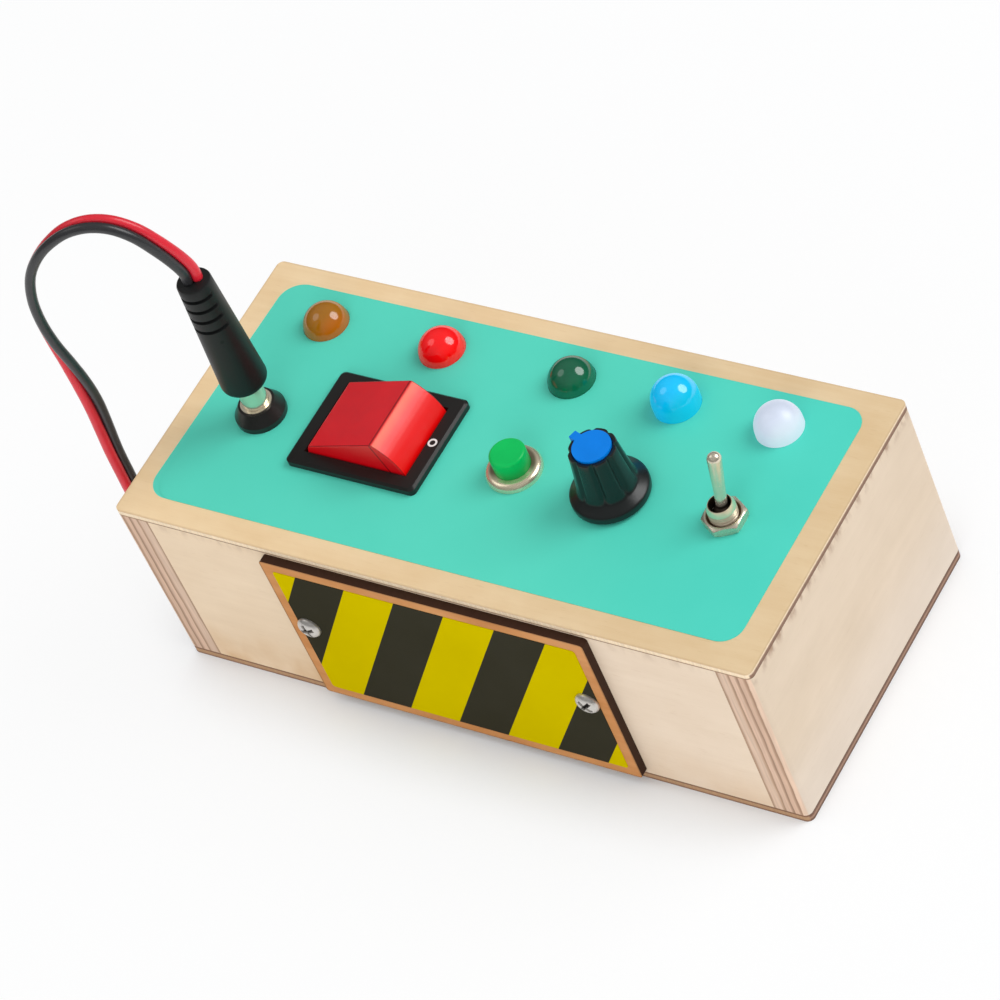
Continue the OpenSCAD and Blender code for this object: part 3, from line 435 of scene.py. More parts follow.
# %% Sky and lamps
SKY_LEVEL = 0.5
LIT_PLACE = Vector((0, 0, 0.03))
SOFT_LAMPS = {
    "key": ((0.66, 0.56, 0.82), 0.8, 7, True),
    "left": ((-0.62, -0.18, 0.95), 0.6, 0.9, True),
    "fill": ((0.3, -1.0, 0.5), 0.9, 4.2, False),
}
scene.world = bpy.data.worlds.new("sky")
scene.world.use_nodes = True
sky = scene.world.node_tree
upwards = xyz(outputs(add(sky, "TexCoord"))["Generated"])[2]
mirrored = scaled(between(upwards, 0.05, 0.8), 0.24, 0.08)
rays = outputs(add(sky, "LightPath"))
for_shine = step("Mix", rays["Is Glossy Ray"], SKY_LEVEL, mirrored, into=(0, 2, 3), data_type="FLOAT")[0]
level = calc("MAXIMUM", for_shine, rays["Is Camera Ray"])
feed_named(sky.nodes["Background"], Color=(1, 1, 1), Strength=level)
for name, (place, size, power, leaves_highlight) in SOFT_LAMPS.items():
    light = bpy.data.lights.new(name, "AREA")
    light.shape = "DISK"
    light.size = size
    light.energy = power
    lamp = placed(name, light)
    lamp.location = place
    lamp.rotation_euler = (LIT_PLACE - Vector(place)).to_track_quat("-Z", "Y").to_euler()
    lamp.visible_glossy = leaves_highlight
scene.view_settings.view_transform = "Standard"
print("lamps:", ", ".join(SOFT_LAMPS))

# %% [markdown]
# ## The power lead
# The lead is a flat pair: a red and a black strand, each 2.2 mm thick, moulded side by side.
# It comes out of the left wall, climbs, turns over and goes down into the plug. The route's
# points are the part's own, and a smooth curve through them gives the rings of both strands.
# The red strand lies on the outside of the arch. Where the arch turns down on the left, the pair
# is twisted so that its black strand looks at the viewer and hides the red one. A short list of
# turns along the lead says how far it is twisted at each place.

# %% Route of the power lead
HOLE = Vector((box_mm("left_wall")[0].x, -18.5, 19.5))
PLUG_PLACE = (-56.4, -3.6)
plug_low, plug_high = box_mm("plug_body")
climb = [
    (8, 0, 0), (4, 0, 0), (0, 0, 0), (-3, 0, 0), (-6.5, 0, 1), (-9.5, 0, 3), (-11.5, 0, 6),
    (-12.3, -0.1, 10.5), (-12.1, -0.1, 17.5), (-11.8, 0, 24.8), (-11.3, 0.3, 32), (-10.8, 0.5, 39),
    (-10.8, 0.5, 45.5), (-11.2, 0.3, 52.5), (-11.8, 0, 59.5), (-12, 0, 66.3), (-11.3, 0.3, 72.5),
    (-9.6, 1.1, 78.3), (-7, 2.4, 82.9), (-3.5, 4.1, 86.8), (0.8, 6.2, 89.7), (5.2, 8.3, 90.6),
    (9.3, 10.3, 89.3), (12.8, 12, 86), (15.4, 13.3, 81.5), (17.5, 14.3, 77),
]
lead_route = [tuple(HOLE + Vector(step)) for step in climb]
lead_route += [PLUG_PLACE + (plug_high.z + 3,), PLUG_PLACE + (plug_high.z,)]


def smooth_route(points, parts):
    """More points on a smooth curve that passes through the given ones."""
    p = np.array([points[0]] + list(points) + [points[-1]], float)
    made = []
    for i in range(1, len(p) - 2):
        for k in range(parts):
            t = k / parts
            made.append(0.5 * (2 * p[i] + (p[i + 1] - p[i - 1]) * t
                               + (2 * p[i - 1] - 5 * p[i] + 4 * p[i + 1] - p[i + 2]) * t ** 2
                               + (3 * p[i] - p[i - 1] - 3 * p[i + 1] + p[i + 2]) * t ** 3))
    made.append(p[-2])
    return np.array(made)


lead_line = smooth_route(lead_route, 5)
run = np.concatenate(([0], np.cumsum(np.linalg.norm(np.diff(lead_line, axis=0), axis=1))))

# %% Strands of the power lead
STRAND_RADIUS = 1.1
STRAND_OFFSET = 1.06
TWIST = [(0, -38), (42, -34), (56, 0), (64, 40), (70, 66), (76, 90), (103, 90), (110, 64), (118, 40),
         (128, 26), (140, 0)]
twists = np.radians(np.interp(run, *np.array(TWIST, float).T))
twists = np.convolve(np.pad(twists, 4, mode="edge"), np.ones(9) / 9, mode="valid")
strands = []
for side in (1, -1):
    rings = []
    for i, here in enumerate(lead_line):
        along = lead_line[min(i + 1, len(lead_line) - 1)] - lead_line[max(i - 1, 0)]
        along = along / np.linalg.norm(along)
        outside = np.cross(np.array(eye / MM) - here, along)
        outside = outside / np.linalg.norm(outside)
        across = math.cos(twists[i]) * outside + math.sin(twists[i]) * np.cross(outside, along)
        up = np.cross(along, across)
        centre = here + across * STRAND_OFFSET * side
        rings.append([tuple(centre + STRAND_RADIUS * (math.cos(a) * across + math.sin(a) * up))
                      for a in angles(16)])
    strands.append(skin(rings))
strand_points, strand_faces = merged(*strands)
print("strand faces:", len(strand_faces))


# %% The two strands as one piece
def insulation(name, colour, dull):
    made = Material(name, coat_weight=0.15)
    cloud = made.noise(0.25)
    made.put(base_color=blend(cloud, colour, dull), roughness=scaled(cloud, 0.2, 0.25))
    made.bump(made.noise(1.5, 2), 0.15, 0.0001)
    return made


red_skin = insulation("lead_red", (0.80, 0.016, 0.036), (0.64, 0.013, 0.030))
black_skin = insulation("lead_black", (0.030, 0.030, 0.033), (0.020, 0.020, 0.022))
lead_mesh = bpy.data.meshes.new("twin_lead")
lead_mesh.from_pydata([tuple(np.array(p) * MM) for p in strand_points], [], strand_faces)
lead_mesh.materials.append(red_skin.made)
lead_mesh.materials.append(black_skin.made)
for face in lead_mesh.polygons:
    face.material_index = int(face.index >= len(strand_faces) // 2)
lead_mesh.shade_smooth()
twin_lead = placed("twin_lead", lead_mesh)
plug_end = Vector(lead_route[-1]) * MM
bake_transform(twin_lead)
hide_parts("power_lead")
print("the lead stands for the part's power_lead")

# %% [markdown]
# ## Finishes that several pieces share
# Moulded plastic is never one flat colour. It has faint clouds, and its skin has a fine tooth
# from the mould. Plated metal has short polishing lines that spread a reflection one way.
# Wood has long streaks, short fibres and small dark flecks. Each of these is a group of nodes,
# made once and placed in every material that needs it, with that material's own colours.

# %% Moulded plastic and plated metal
PLATING = 0.8
FINE_RELIEF = 0.00004
SHADE_ROUGH = 0.35
moulded_skin = Group("moulded_skin", "Vector Colour Rough", "Colour Rough Height")
cloud = moulded_skin.noise(0.16)
moulded_skin.give(Colour=tinted(moulded_skin.source["Colour"], cloud, 0.86, 1.14),
                  Rough=calc("ADD", moulded_skin.source["Rough"], scaled(cloud, 0.2, -0.1), clamp=True),
                  Height=moulded_skin.noise(6, 2))
plated_metal = Group("plated_metal", "Vector Colour Rough", "Colour Rough Height")
lines = plated_metal.noise((0.5, 0.5, 12), 2)
plated_metal.give(Colour=tinted(plated_metal.source["Colour"], plated_metal.noise(0.3), 0.82, 1.12),
                  Rough=calc("ADD", plated_metal.source["Rough"], scaled(lines, 0.12, -0.05), clamp=True),
                  Height=lines)


def finished(name, group, colour, rough, relief, **values):
    """A finish from a shared group. Its colour and roughness are kept, for paint to go on."""
    made = Material(name, **values)
    surface = made.use(group, Colour=colour, Rough=rough)
    made.colour, made.rough = surface["Colour"], surface["Rough"]
    made.put(base_color=made.colour, roughness=made.rough)
    if relief:
        made.bump(surface["Height"], relief, FINE_RELIEF)
    return made


def moulded(name, colour, rough, relief=0.25, **values):
    return finished(name, moulded_skin, colour, rough, relief, **values)


def plated(name, colour, rough):
    return finished(name, plated_metal, colour, rough, 0.15, metallic=PLATING)


def shade(metal, share, colour):
    """Makes plated metal dull and dark where the share is 1."""
    metal.over(share, colour)
    metal.put(roughness=scaled(share, SHADE_ROUGH, metal.rough, clamp=True))


print("groups:", moulded_skin.tree.name, "and", plated_metal.tree.name)

# %% [markdown]
# ## The plywood
# The box is glued up from birch plywood that was cut with a laser. Its faces are pale, with
# faint streaks. Where a sheet is cut, the edge shows its layers as thin lines, and the heat
# leaves it brown. A map of the streaks is stretched along the grain, and the layers are a ramp
# of colours across the thickness of the sheet.

# %% Groups for birch faces and cut edges
birch_sheet = Group("birch_sheet", "Vector Pale Dark", "Colour Height")
streaks = birch_sheet.noise((0.012, 0.5, 0.5), 4)
fibres = birch_sheet.noise((0.16, 4.5, 4.5), 2)
clouds = birch_sheet.noise((0.06, 0.10, 0.10), 4)
tone = scaled(fibres, 0.1, streaks * 0.3 + clouds * 0.6)
plain = blend(between(tone, 0.25, 0.75), birch_sheet.source["Pale"], birch_sheet.source["Dark"])
flecks = between(birch_sheet.noise((0.3, 2.4, 2.4), 1), 0.66, 0.76)
birch_sheet.give(Colour=blend(flecks * 0.14, plain, (0.72, 0.60, 0.46), "MULTIPLY"), Height=fibres)

cut_fibres = Group("cut_fibres", "Vector Colour", "Colour Height")
threads = cut_fibres.noise((2.2, 2.2, 0.10))
cut_fibres.give(Colour=tinted(cut_fibres.source["Colour"], threads, 0.80, 1.40), Height=threads)
print("groups:", birch_sheet.tree.name, "and", cut_fibres.tree.name)

# %% Helpers for wood, and sizes of the box taken from the part
half_length, half_depth, floor_sheet = box_mm("bottom_panel")[1]
sheet_under, sheet_top = [corner.z for corner in box_mm("top_panel")]
end_wall = half_length + box_mm("left_wall")[1].x
JOINT_BROWN = (0.36, 0.21, 0.13)
SMOKE_REACH = 3.2


def birch(name, pale, dark, along="x", gloss=0.3):
    """A birch material. The colour of its faces is kept, for paint to go on."""
    made = Material(name, roughness=0.6, specular_ior_level=gloss)
    lengthwise_first = (made.x, made.y) if along == "x" else (made.y, made.x)
    place = step("CombineXYZ", *lengthwise_first, made.z)[0]
    wood = made.use(birch_sheet, Vector=place, Pale=pale, Dark=dark)
    made.colour = wood["Colour"]
    made.bump(wood["Height"], 0.15, 0.00006)
    return made


def smoke(wall, share):
    """Browns the wood in wisps just under the top sheet, where the laser smoked it."""
    wisps = between(wall.noise((0.45, 0.45, 0.16)), 0.42, 0.72)
    smoky = between(wall.z, sheet_under - SMOKE_REACH, sheet_under) * wisps
    wall.over(smoky * share, JOINT_BROWN)


def cut_edge(wood, colour):
    return wood.use(cut_fibres, Colour=colour)["Colour"]


print("box", 2 * half_length, "by", 2 * half_depth, "by", sheet_top, "mm, end walls", end_wall, "mm")

# %% Front and back walls
WARM_FOOT = (0.68, 0.41, 0.18)
wall = birch("long_wall_birch", (0.905, 0.745, 0.585), (0.825, 0.66, 0.50))
near_foot = fading(wall.z, floor_sheet, floor_sheet + 15)
towards_left = fading(wall.x, -60, 60)
patches = between(wall.noise((0.09, 0.12, 0.07)), 0.2, 0.8)
warm = near_foot * patches * scaled(towards_left, 0.65, 0.25)
wall.over(towards_left * 0.8, (1.02, 0.98, 0.88), "MULTIPLY")
wall.over(warm, WARM_FOOT)
smoke(wall, 0.25)
dress(wall, "front_wall", "back_wall")
print("front and back walls are birch")

# %% End walls with their layered edges
WALL_LAYERS = [
    (0.00, (0.56, 0.39, 0.28)), (0.05, (0.76, 0.56, 0.42)), (0.14, (0.74, 0.54, 0.40)),
    (0.17, (0.34, 0.19, 0.12)), (0.23, (0.50, 0.32, 0.22)), (0.27, (0.64, 0.44, 0.32)),
    (0.37, (0.62, 0.42, 0.30)), (0.40, (0.30, 0.17, 0.11)), (0.46, (0.52, 0.34, 0.24)),
    (0.50, (0.66, 0.46, 0.34)), (0.61, (0.66, 0.46, 0.34)), (0.64, (0.36, 0.21, 0.13)),
    (0.70, (0.56, 0.38, 0.27)), (0.74, (0.66, 0.48, 0.36)), (0.91, (0.66, 0.48, 0.36)),
    (0.96, (0.42, 0.26, 0.17)),
]
wall = birch("end_wall_birch", (0.79, 0.645, 0.495), (0.72, 0.58, 0.435), along="y")
waver = scaled(wall.noise((0.25, 0.25, 0.12)), 0.7, -0.35)
from_outside = half_length - abs(wall.x) + waver
layers = ramp(from_outside / end_wall, WALL_LAYERS)
# Painted light: the end walls are paler and bluer near their foot, next to the white floor.
pale_foot = fading(wall.z, floor_sheet, floor_sheet + 24)
wall.over(pale_foot, (1.01, 1.06, 1.16), "MULTIPLY")
smoke(wall, 0.85)
wall.over(wall.facing(1), cut_edge(wall, layers))
dress(wall, "left_wall", "right_wall")
print("end walls have", len(WALL_LAYERS), "colours across their edge")


# %% Top and bottom sheets
def thin_sheet(name, pale, dark, top, thickness, front_layers, end_layers):
    """Birch faces, with other layers on the long edges than on the scorched short ones."""
    sheet = birch(name, pale, dark)
    # Painted shade: the face is lighter towards the left end and darker towards the right.
    sheet.colour = tinted(sheet.colour, between(sheet.x, -half_length, half_length), 1.12, 0.94)
    depth = (top - sheet.z) / thickness
    edge = blend(sheet.facing(0), ramp(depth, front_layers), ramp(depth, end_layers))
    to_edge = calc("MINIMUM", half_length - abs(sheet.x), half_depth - abs(sheet.y))
    sheet.over(fading(to_edge, 0.05, 0.55) * 0.35, (0.55, 0.36, 0.20))
    sheet.colour = blend(sheet.facing(2), cut_edge(sheet, edge), sheet.colour)
    sheet.put(base_color=sheet.colour)
    return sheet


top_sheet = thin_sheet(
    "top_sheet_birch", (0.86, 0.66, 0.41), (0.77, 0.55, 0.305), sheet_top, sheet_top - sheet_under,
    [(0.0, (0.62, 0.43, 0.26)), (0.2, (0.86, 0.70, 0.50)), (0.72, (0.84, 0.67, 0.47)),
     (0.86, (0.34, 0.20, 0.12))],
    [(0.0, (0.80, 0.64, 0.45)), (0.22, (0.74, 0.57, 0.40)), (0.42, (0.26, 0.15, 0.10)),
     (1.0, (0.20, 0.11, 0.07))])
bottom_sheet = thin_sheet(
    "bottom_sheet_birch", (0.80, 0.64, 0.46), (0.70, 0.53, 0.36), floor_sheet, floor_sheet,
    [(0.0, (0.20, 0.10, 0.055)), (0.2, (0.24, 0.12, 0.065)), (0.32, (0.46, 0.275, 0.15)),
     (0.70, (0.44, 0.26, 0.14)), (0.84, (0.24, 0.125, 0.07))],
    [(0.0, (0.14, 0.07, 0.045)), (0.35, (0.20, 0.11, 0.07)), (0.55, (0.40, 0.24, 0.17)),
     (0.8, (0.15, 0.08, 0.05))])
dress(top_sheet, "top_panel")
dress(bottom_sheet, "bottom_panel")
print("top and bottom sheets are birch with brown edges")

# %% [markdown]
# ## The printed face
# The top carries a print in sea green, with bare wood left round it. The ink covers the grain
# and leaves only faint clouds. Towards the right-hand end it is painted a little darker, as painted shade.
# On the left the ink runs a little past the printed film, so that strip is painted on the top sheet itself.
# Its outline is a rectangle with round corners, leaning a little, as the print on the real box does.

# %% Printed face
sea_green = Group("sea_green", "Vector Along", "Colour Rough")
clouds = sea_green.noise(0.05, 4)
left_ink = blend(clouds, (0.086, 0.685, 0.525), (0.110, 0.740, 0.575))
# Painted shade: the print goes over to a darker copy of its colour towards the right-hand end.
shaded_right_ink = blend(clouds, (0.060, 0.650, 0.530), (0.080, 0.700, 0.575))
sea_green.give(Colour=blend(between(sea_green.source["Along"], 5, 90), left_ink, shaded_right_ink),
               Rough=scaled(sea_green.noise(0.2), 0.25, 0.34))

film = Material("sea_green_print", specular_ior_level=0.3)
ink = film.use(sea_green, Along=film.x)
film.put(base_color=ink["Colour"], roughness=ink["Rough"])
film.bump(film.noise(2.5, 2), 0.08, 0.00005)
dress(film, "coloured_face")
film_low, film_high = box_mm("coloured_face")
DECK = film_high.z
print("printed face is", [round(v, 1) for v in film_high - film_low], "mm")

# %% Ink that runs over the left end of the print
INK_LEFT = -70.25
INK_SHEAR = 0.019
INK_CORNER = 5.0
from_left = scaled(top_sheet.y, -INK_SHEAR, top_sheet.x) - (INK_LEFT + INK_CORNER)
off_middle = abs(top_sheet.y - (film_low.y + film_high.y) / 2)
past_straight = off_middle - ((film_high.y - film_low.y) / 2 - INK_CORNER)
reach = length(calc("MAXIMUM", from_left * -1, 0.0), calc("MAXIMUM", past_straight, 0.0))
printed = fading(reach, INK_CORNER - 0.05, INK_CORNER + 0.05) * calc("LESS_THAN", top_sheet.x, 0.0)
printed = printed * calc("GREATER_THAN", top_sheet.z, sheet_top - 0.05)
ink = top_sheet.use(sea_green, Along=top_sheet.x)
top_sheet.over(printed, ink["Colour"])
print("ink starts", round(half_length + INK_LEFT, 2), "mm from the left end")

# %% [markdown]
# ## The battery door
# The door is a thicker sheet that was cut slowly, so its edges are charred nearly black. Its
# face is stained orange, and a hazard label covers all of it but a narrow rim. The stripes are
# worked out from the place on the label: a slanted coordinate, cut into equal bands.

# %% Door and striped label
door_low, door_high = box_mm("battery_door")
door_middle = (door_low.z + door_high.z) / 2
door = birch("stained_door", (0.70, 0.34, 0.135), (0.53, 0.205, 0.055), gloss=0.12)
to_end = door_high.x - abs(door.x)
to_side = (door_high.z - door_low.z) / 2 - abs(door.z - door_middle)
arris = fading(calc("MINIMUM", to_end, to_side), 0.05, 0.5)
door.over(arris * 0.55, (0.20, 0.09, 0.04))
char = cut_edge(door, (0.042, 0.017, 0.009))
door.put(base_color=blend(door.facing(1), char, door.colour))
dress(door, "battery_door")

STRIPE_WIDTH = 11.85
STRIPE_SLANT = 0.565
STRIPE_START = -41.0
label = Material("hazard_print", specular_ior_level=0.0)
slanted = label.x - (label.z - door_middle) * STRIPE_SLANT - STRIPE_START
band = calc("FRACT", slanted / (2 * STRIPE_WIDTH))
black = fading(abs(band - 0.25), 0.247, 0.253)
smear = label.noise(0.05)
yellow_ink = blend(smear, (0.68, 0.545, 0.0), (0.60, 0.465, 0.0))
black_ink = blend(smear, (0.046, 0.043, 0.030), (0.034, 0.031, 0.018))
label.put(base_color=blend(black, yellow_ink, black_ink), roughness=scaled(smear, 0.25, 0.25))
label.bump(label.noise(3, 2), 0.08, FINE_RELIEF)
dress(label, "striped_label")
print("stripes are", STRIPE_WIDTH, "mm wide")

# %% [markdown]
# ## Metals and plastics
# Nickel is the bright plating on the nuts, rings and levers. Its reflection does most of the
# work, and fine wear scatters the rest, so that its warm grey shows on every side. The blacks
# differ: the rocker's frame is dull, the knob is smooth with a soft shine, and the plug's rubber
# is dullest of all. Places that little light gets into are darker: the lever inside its bush, and the
# inner slope of the button's ring, except at the front, where the light reaches it.

# %% Plain metals and plastics
PLAIN_METALS = {
    "nickel_plate": ((0.95, 0.86, 0.68), 0.2, "jack_sleeve plug_barrel dial_washer dial_nut"),
    "worn_nickel": ((0.70, 0.66, 0.58), 0.28, "button_nut toggle_back_nut jack_nut knob_shaft dial_bush "
                    "toggle_pivot_pin rocker_plunger"),
    "brass": ((0.78, 0.58, 0.28), 0.3, "jack_centre_pin rocker_tabs battery_snaps"),
    "copper_blade": ((0.80, 0.42, 0.26), 0.3, "rocker_contact"),
    "spring_steel": ((0.55, 0.55, 0.55), 0.3, "button_spring battery_clip lamp_legs button_pins dial_lugs "
                     "toggle_lugs jack_lugs"),
    "case_zinc": ((0.52, 0.53, 0.54), 0.4, "dial_case"),
}
PLAIN_PLASTICS = {
    "socket_black": ((0.012, 0.011, 0.010), 0.30, "jack_collar"),
    "base_black": ((0.022, 0.022, 0.022), 0.5, "button_base snap_plate plug_liner"),
    "case_blue": ((0.02, 0.08, 0.28), 0.4, "toggle_case"),
    "wire_blue": ((0.03, 0.12, 0.5), 0.4, "hookup_wires"),
}
for kind, table in ((plated, PLAIN_METALS), (moulded, PLAIN_PLASTICS)):
    for name, (colour, rough, pieces) in table.items():
        dress(kind(name, colour, rough), *pieces.split())
dress(moulded("battery_wrap", (0.06, 0.065, 0.07), 0.3, 0.1), "battery")
dress(moulded("dial_blue", (0.0, 0.215, 0.80), 0.34, 0.15, specular_ior_level=0.2), "knob_dial")
dress(red_skin, "battery_lead")
print("plain finishes:", len(PLAIN_METALS) + len(PLAIN_PLASTICS))

# %% Button and lever
TOGGLE_PLACE = (53.0, -1.9)
bush_low, bush_high = box_mm("toggle_bush")
BUSH_TOP = bush_high.z
BUTTON_PLACE = (4.7, -2.5)
RING_FRONT = (0.49, -0.87)
RING_SLOPE = (4.4, 5.3)
ring = plated("ring_nickel", (0.95, 0.82, 0.60), 0.26)
aside = (ring.x - BUTTON_PLACE[0]) * RING_FRONT[0]
ahead = scaled(ring.y - BUTTON_PLACE[1], RING_FRONT[1], aside)
inner_slope = fading(ring.from_axis(BUTTON_PLACE), *RING_SLOPE)
shade(ring, inner_slope * (0.85 - between(ahead, 0.5, 4.0)), (0.16, 0.11, 0.07))
dress(ring, "button_ring")
lever = plated("lever_nickel", (0.84, 0.76, 0.60), 0.24)
shade(lever, fading(lever.z, BUSH_TOP - 0.6, BUSH_TOP + 0.1), (0.05, 0.035, 0.025))
dress(lever, "toggle_lever")
cap = moulded("cap_green", (0.0, 0.53, 0.105), 0.34, 0.15, specular_ior_level=0.25)
# Painted shade: the cap's side is darker low down, next to the ring.
shaded_low_side = fading(cap.z, DECK + 1.6, DECK + 5.0)
cap.over(shaded_low_side * 0.6, (0.0, 0.22, 0.03))
dress(cap, "button_cap")
print("button and lever are dressed")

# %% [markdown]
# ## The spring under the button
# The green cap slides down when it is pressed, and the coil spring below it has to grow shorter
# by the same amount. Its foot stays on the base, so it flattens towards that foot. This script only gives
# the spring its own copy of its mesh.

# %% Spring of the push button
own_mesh(nodes["button_spring"])

# %% [markdown]
# ## The lamps
# Each lamp is a 10 mm dome of tinted resin with a small rim that stops it from below. A dome
# is an arc turned about an upright axis. Three lamps are dark. Their front right side is painted in a
# warmer tint, a painted glow of light gathered from behind, and the amber and the red one are given a
# little painted glow of their own. The rim of each dome is painted in another tint, which is painted
# shade on the dark lamps and painted light on the lit ones. The blue and the white one are lit, so
# they give out light of their own.

# %% Lamp domes
LAMP_RADIUS = 5.0
RIM_RADIUS = 5.5
RIM_HEIGHT = 1.6
POINT_RADIUS = 0.001
PAINTED_GLOW_SIDE = (0.91, -0.39, -0.16)


def lamp_outline(low, high):
    """Radius and height of the lamp's side, from its foot to its crown."""
    above_rim = low + RIM_HEIGHT
    side = [(POINT_RADIUS, low), (RIM_RADIUS, low), (RIM_RADIUS, above_rim), (LAMP_RADIUS, above_rim)]
    middle = high - LAMP_RADIUS
    return side + [(max(LAMP_RADIUS * math.cos(a), POINT_RADIUS), middle + LAMP_RADIUS * math.sin(a))
                   for a in np.linspace(0, math.pi / 2, 20)]


def lens(name, colour, painted_rim_colour, painted_glow_colour, light, rough):
    """Tinted resin with a painted tint at its rim and a painted glow on one side. Its own light is real
    where the lamp is lit and a painted glow where it is dark.
    """
    made = moulded(name, colour, rough, 0, specular_ior_level=0.85)
    # Painted glow: the side that looks towards the front right takes the glow tint.
    painted_glow_share = between(measure("DOT_PRODUCT", made.normal(), PAINTED_GLOW_SIDE), 0.2, 0.8)
    edge = add(made.tree, "LayerWeight")
    feed_named(edge, Blend=0.35)
    aslant = outputs(edge)["Facing"]
    made.over(painted_glow_share, painted_glow_colour)
    # Painted rim tint: painted shade at the rim of a dark lamp, painted light at the rim of a lit one.
    made.over(between(aslant, 0.6, 0.98), painted_rim_colour)
    dull_rim = between(aslant, 0.5, 0.9) * 0.4
    made.put(roughness=calc("ADD", made.rough, dull_rim, clamp=True))
    # On the amber and the red lamp this light is a painted glow, for they are not lit.
    if light:
        made.put(emission_color=made.colour, emission_strength=light)
    return made


# Each look: tint, painted rim tint, painted glow tint, own light (a painted glow on the amber and the red
# lamp), roughness.
lamp_looks = {
    "amber": ((0.34, 0.130, 0.003), (0.17, 0.085, 0.003), (0.46, 0.118, 0.001), 0.1, 0.1),
    "red": ((0.82, 0.001, 0.003), (0.40, 0.001, 0.004), (0.95, 0.001, 0.001), 0.2, 0.1),
    "green": ((0.001, 0.110, 0.050), (0.001, 0.060, 0.036), (0.002, 0.140, 0.062), 0.0, 0.1),
    "blue": ((0.0, 0.39, 0.70), (0.06, 0.56, 0.68), (0.0, 0.40, 0.60), 0.45, 0.1),
    "white": ((0.34, 0.375, 0.45), (0.44, 0.53, 0.57), (0.37, 0.42, 0.475), 1.0, 0.4),
}
for tint, look in lamp_looks.items():
    low, high = box_mm(tint + "_lamp")
    dome = turned(lamp_outline(low.z, high.z), (low + high) / 2, 72)
    new_piece(tint + "_dome", dome, lens(tint + "_resin", *look), tint + "_lamp")
print("lamps:", ", ".join(lamp_looks))

# %% [markdown]
# ## The rocker switch
# The rocker is a red block with a flat top and round ends that swings in a black frame. Its
# left end is down. The block's side view is a circle about the pivot, cut flat above and below,
# and it is pulled out along the pivot with its two sides drawn in a little, which makes the soft
# edges that catch the light. The frame keeps the part's own mesh and gets a small printed ring.

# %% Side view of the rocker
def soften(outline, radius, steps, hold):
    """The closed outline with each corner rounded, and points that hold the flats beside it flat."""
    soft = []
    for i in range(len(outline)):
        before, here, after = [np.array(outline[(i + k) % len(outline)], float) for k in (-1, 0, 1)]
        back = np.linalg.norm(before - here)
        onward = np.linalg.norm(after - here)
        reach = min(radius, back / 2, onward / 2)
        a = here + (before - here) / back * reach
        b = here + (after - here) / onward * reach
        if back > 4 * (reach + hold):
            soft.append(here + (before - here) / back * (reach + hold))
        for t in np.linspace(0, 1, steps + 1):
            soft.append((1 - t) ** 2 * a + 2 * t * (1 - t) * here + t * t * b)
        if onward > 4 * (reach + hold):
            soft.append(here + (after - here) / onward * (reach + hold))
    return soft


def drawn_in(outline, amount):
    """The closed outline with each point moved inwards along its own normal."""
    moved = []
    for i, here in enumerate(outline):
        along = outline[(i + 1) % len(outline)] - outline[i - 1]
        along = along / np.linalg.norm(along)
        moved.append(here + amount * np.array((-along[1], along[0])))
    return moved


ROCKER_RADIUS = 12.1
ROCKER_TOP = 7.9
ROCKER_SKIRT = 5.5
low_angle = math.asin(-ROCKER_SKIRT / ROCKER_RADIUS)
high_angle = math.asin(ROCKER_TOP / ROCKER_RADIUS)
right_end = [(ROCKER_RADIUS * math.cos(a), ROCKER_RADIUS * math.sin(a))
             for a in np.linspace(low_angle, high_angle, 14)]
left_end = [(-across, up) for across, up in reversed(right_end)]
side_view = soften(right_end + left_end, 0.3, 3, hold=0.15)
print("the rocker's side view has", len(side_view), "points")

# %% Rocker block with its pegs
ROCKER_WIDTH = 17.6
ROCKER_TILT = math.radians(18.5)
PIVOT = (-28.3, -2.0, box_mm("rocker_housing")[1].z - 3.2)
PEG_RADIUS = 1.5
PEG_ENDS = (ROCKER_WIDTH / 2 - 0.5, 10.8)
EDGE_STEPS = [(0.0, 0.25), (0.08, 0.08), (0.25, 0.0)]


def on_rocker(across, along, up):
    """A point of the level rocker, swung to its rest."""
    return (PIVOT[0] + across * math.cos(ROCKER_TILT) - up * math.sin(ROCKER_TILT), PIVOT[1] + along,
            PIVOT[2] + across * math.sin(ROCKER_TILT) + up * math.cos(ROCKER_TILT))


def peg_point(along, angle):
    return on_rocker(PEG_RADIUS * math.cos(angle), along, PEG_RADIUS * math.sin(angle))


stations = [(-ROCKER_WIDTH / 2 + inwards, drawn) for inwards, drawn in EDGE_STEPS]
stations += [(ROCKER_WIDTH / 2 - inwards, drawn) for inwards, drawn in reversed(EDGE_STEPS)]
block = skin([[on_rocker(a, along, u) for a, u in drawn_in(side_view, drawn)] for along, drawn in stations])
pegs = [skin(stacked([side * along for along in PEG_ENDS], 24, peg_point)) for side in (-1, 1)]
print("the block has", len(stations), "stations and", len(pegs), "pegs")

# %% Tinted plastic of the rocker, with painted light, shade and glow
red = moulded("rocker_red", (0.66, 0.001, 0.010), 0.39, 0, coat_weight=0.2, coat_roughness=0.2)
lengthwise = scaled(red.x - PIVOT[0], math.cos(ROCKER_TILT), (red.z - PIVOT[2]) * math.sin(ROCKER_TILT))
ridge = ROCKER_RADIUS * math.cos(high_angle)
# Painted light: the end past the ridge is a brighter red, with a painted highlight in a strip beside the
# ridge.
lit_strip = fading(lengthwise, ridge + 0.3, ridge + 1.7)
painted_lit_end_colour = blend(lit_strip, (0.86, 0.0005, 0.0005), (0.9, 0.10, 0.04))
red.over(between(lengthwise, ridge - 0.1, ridge + 0.5), painted_lit_end_colour)
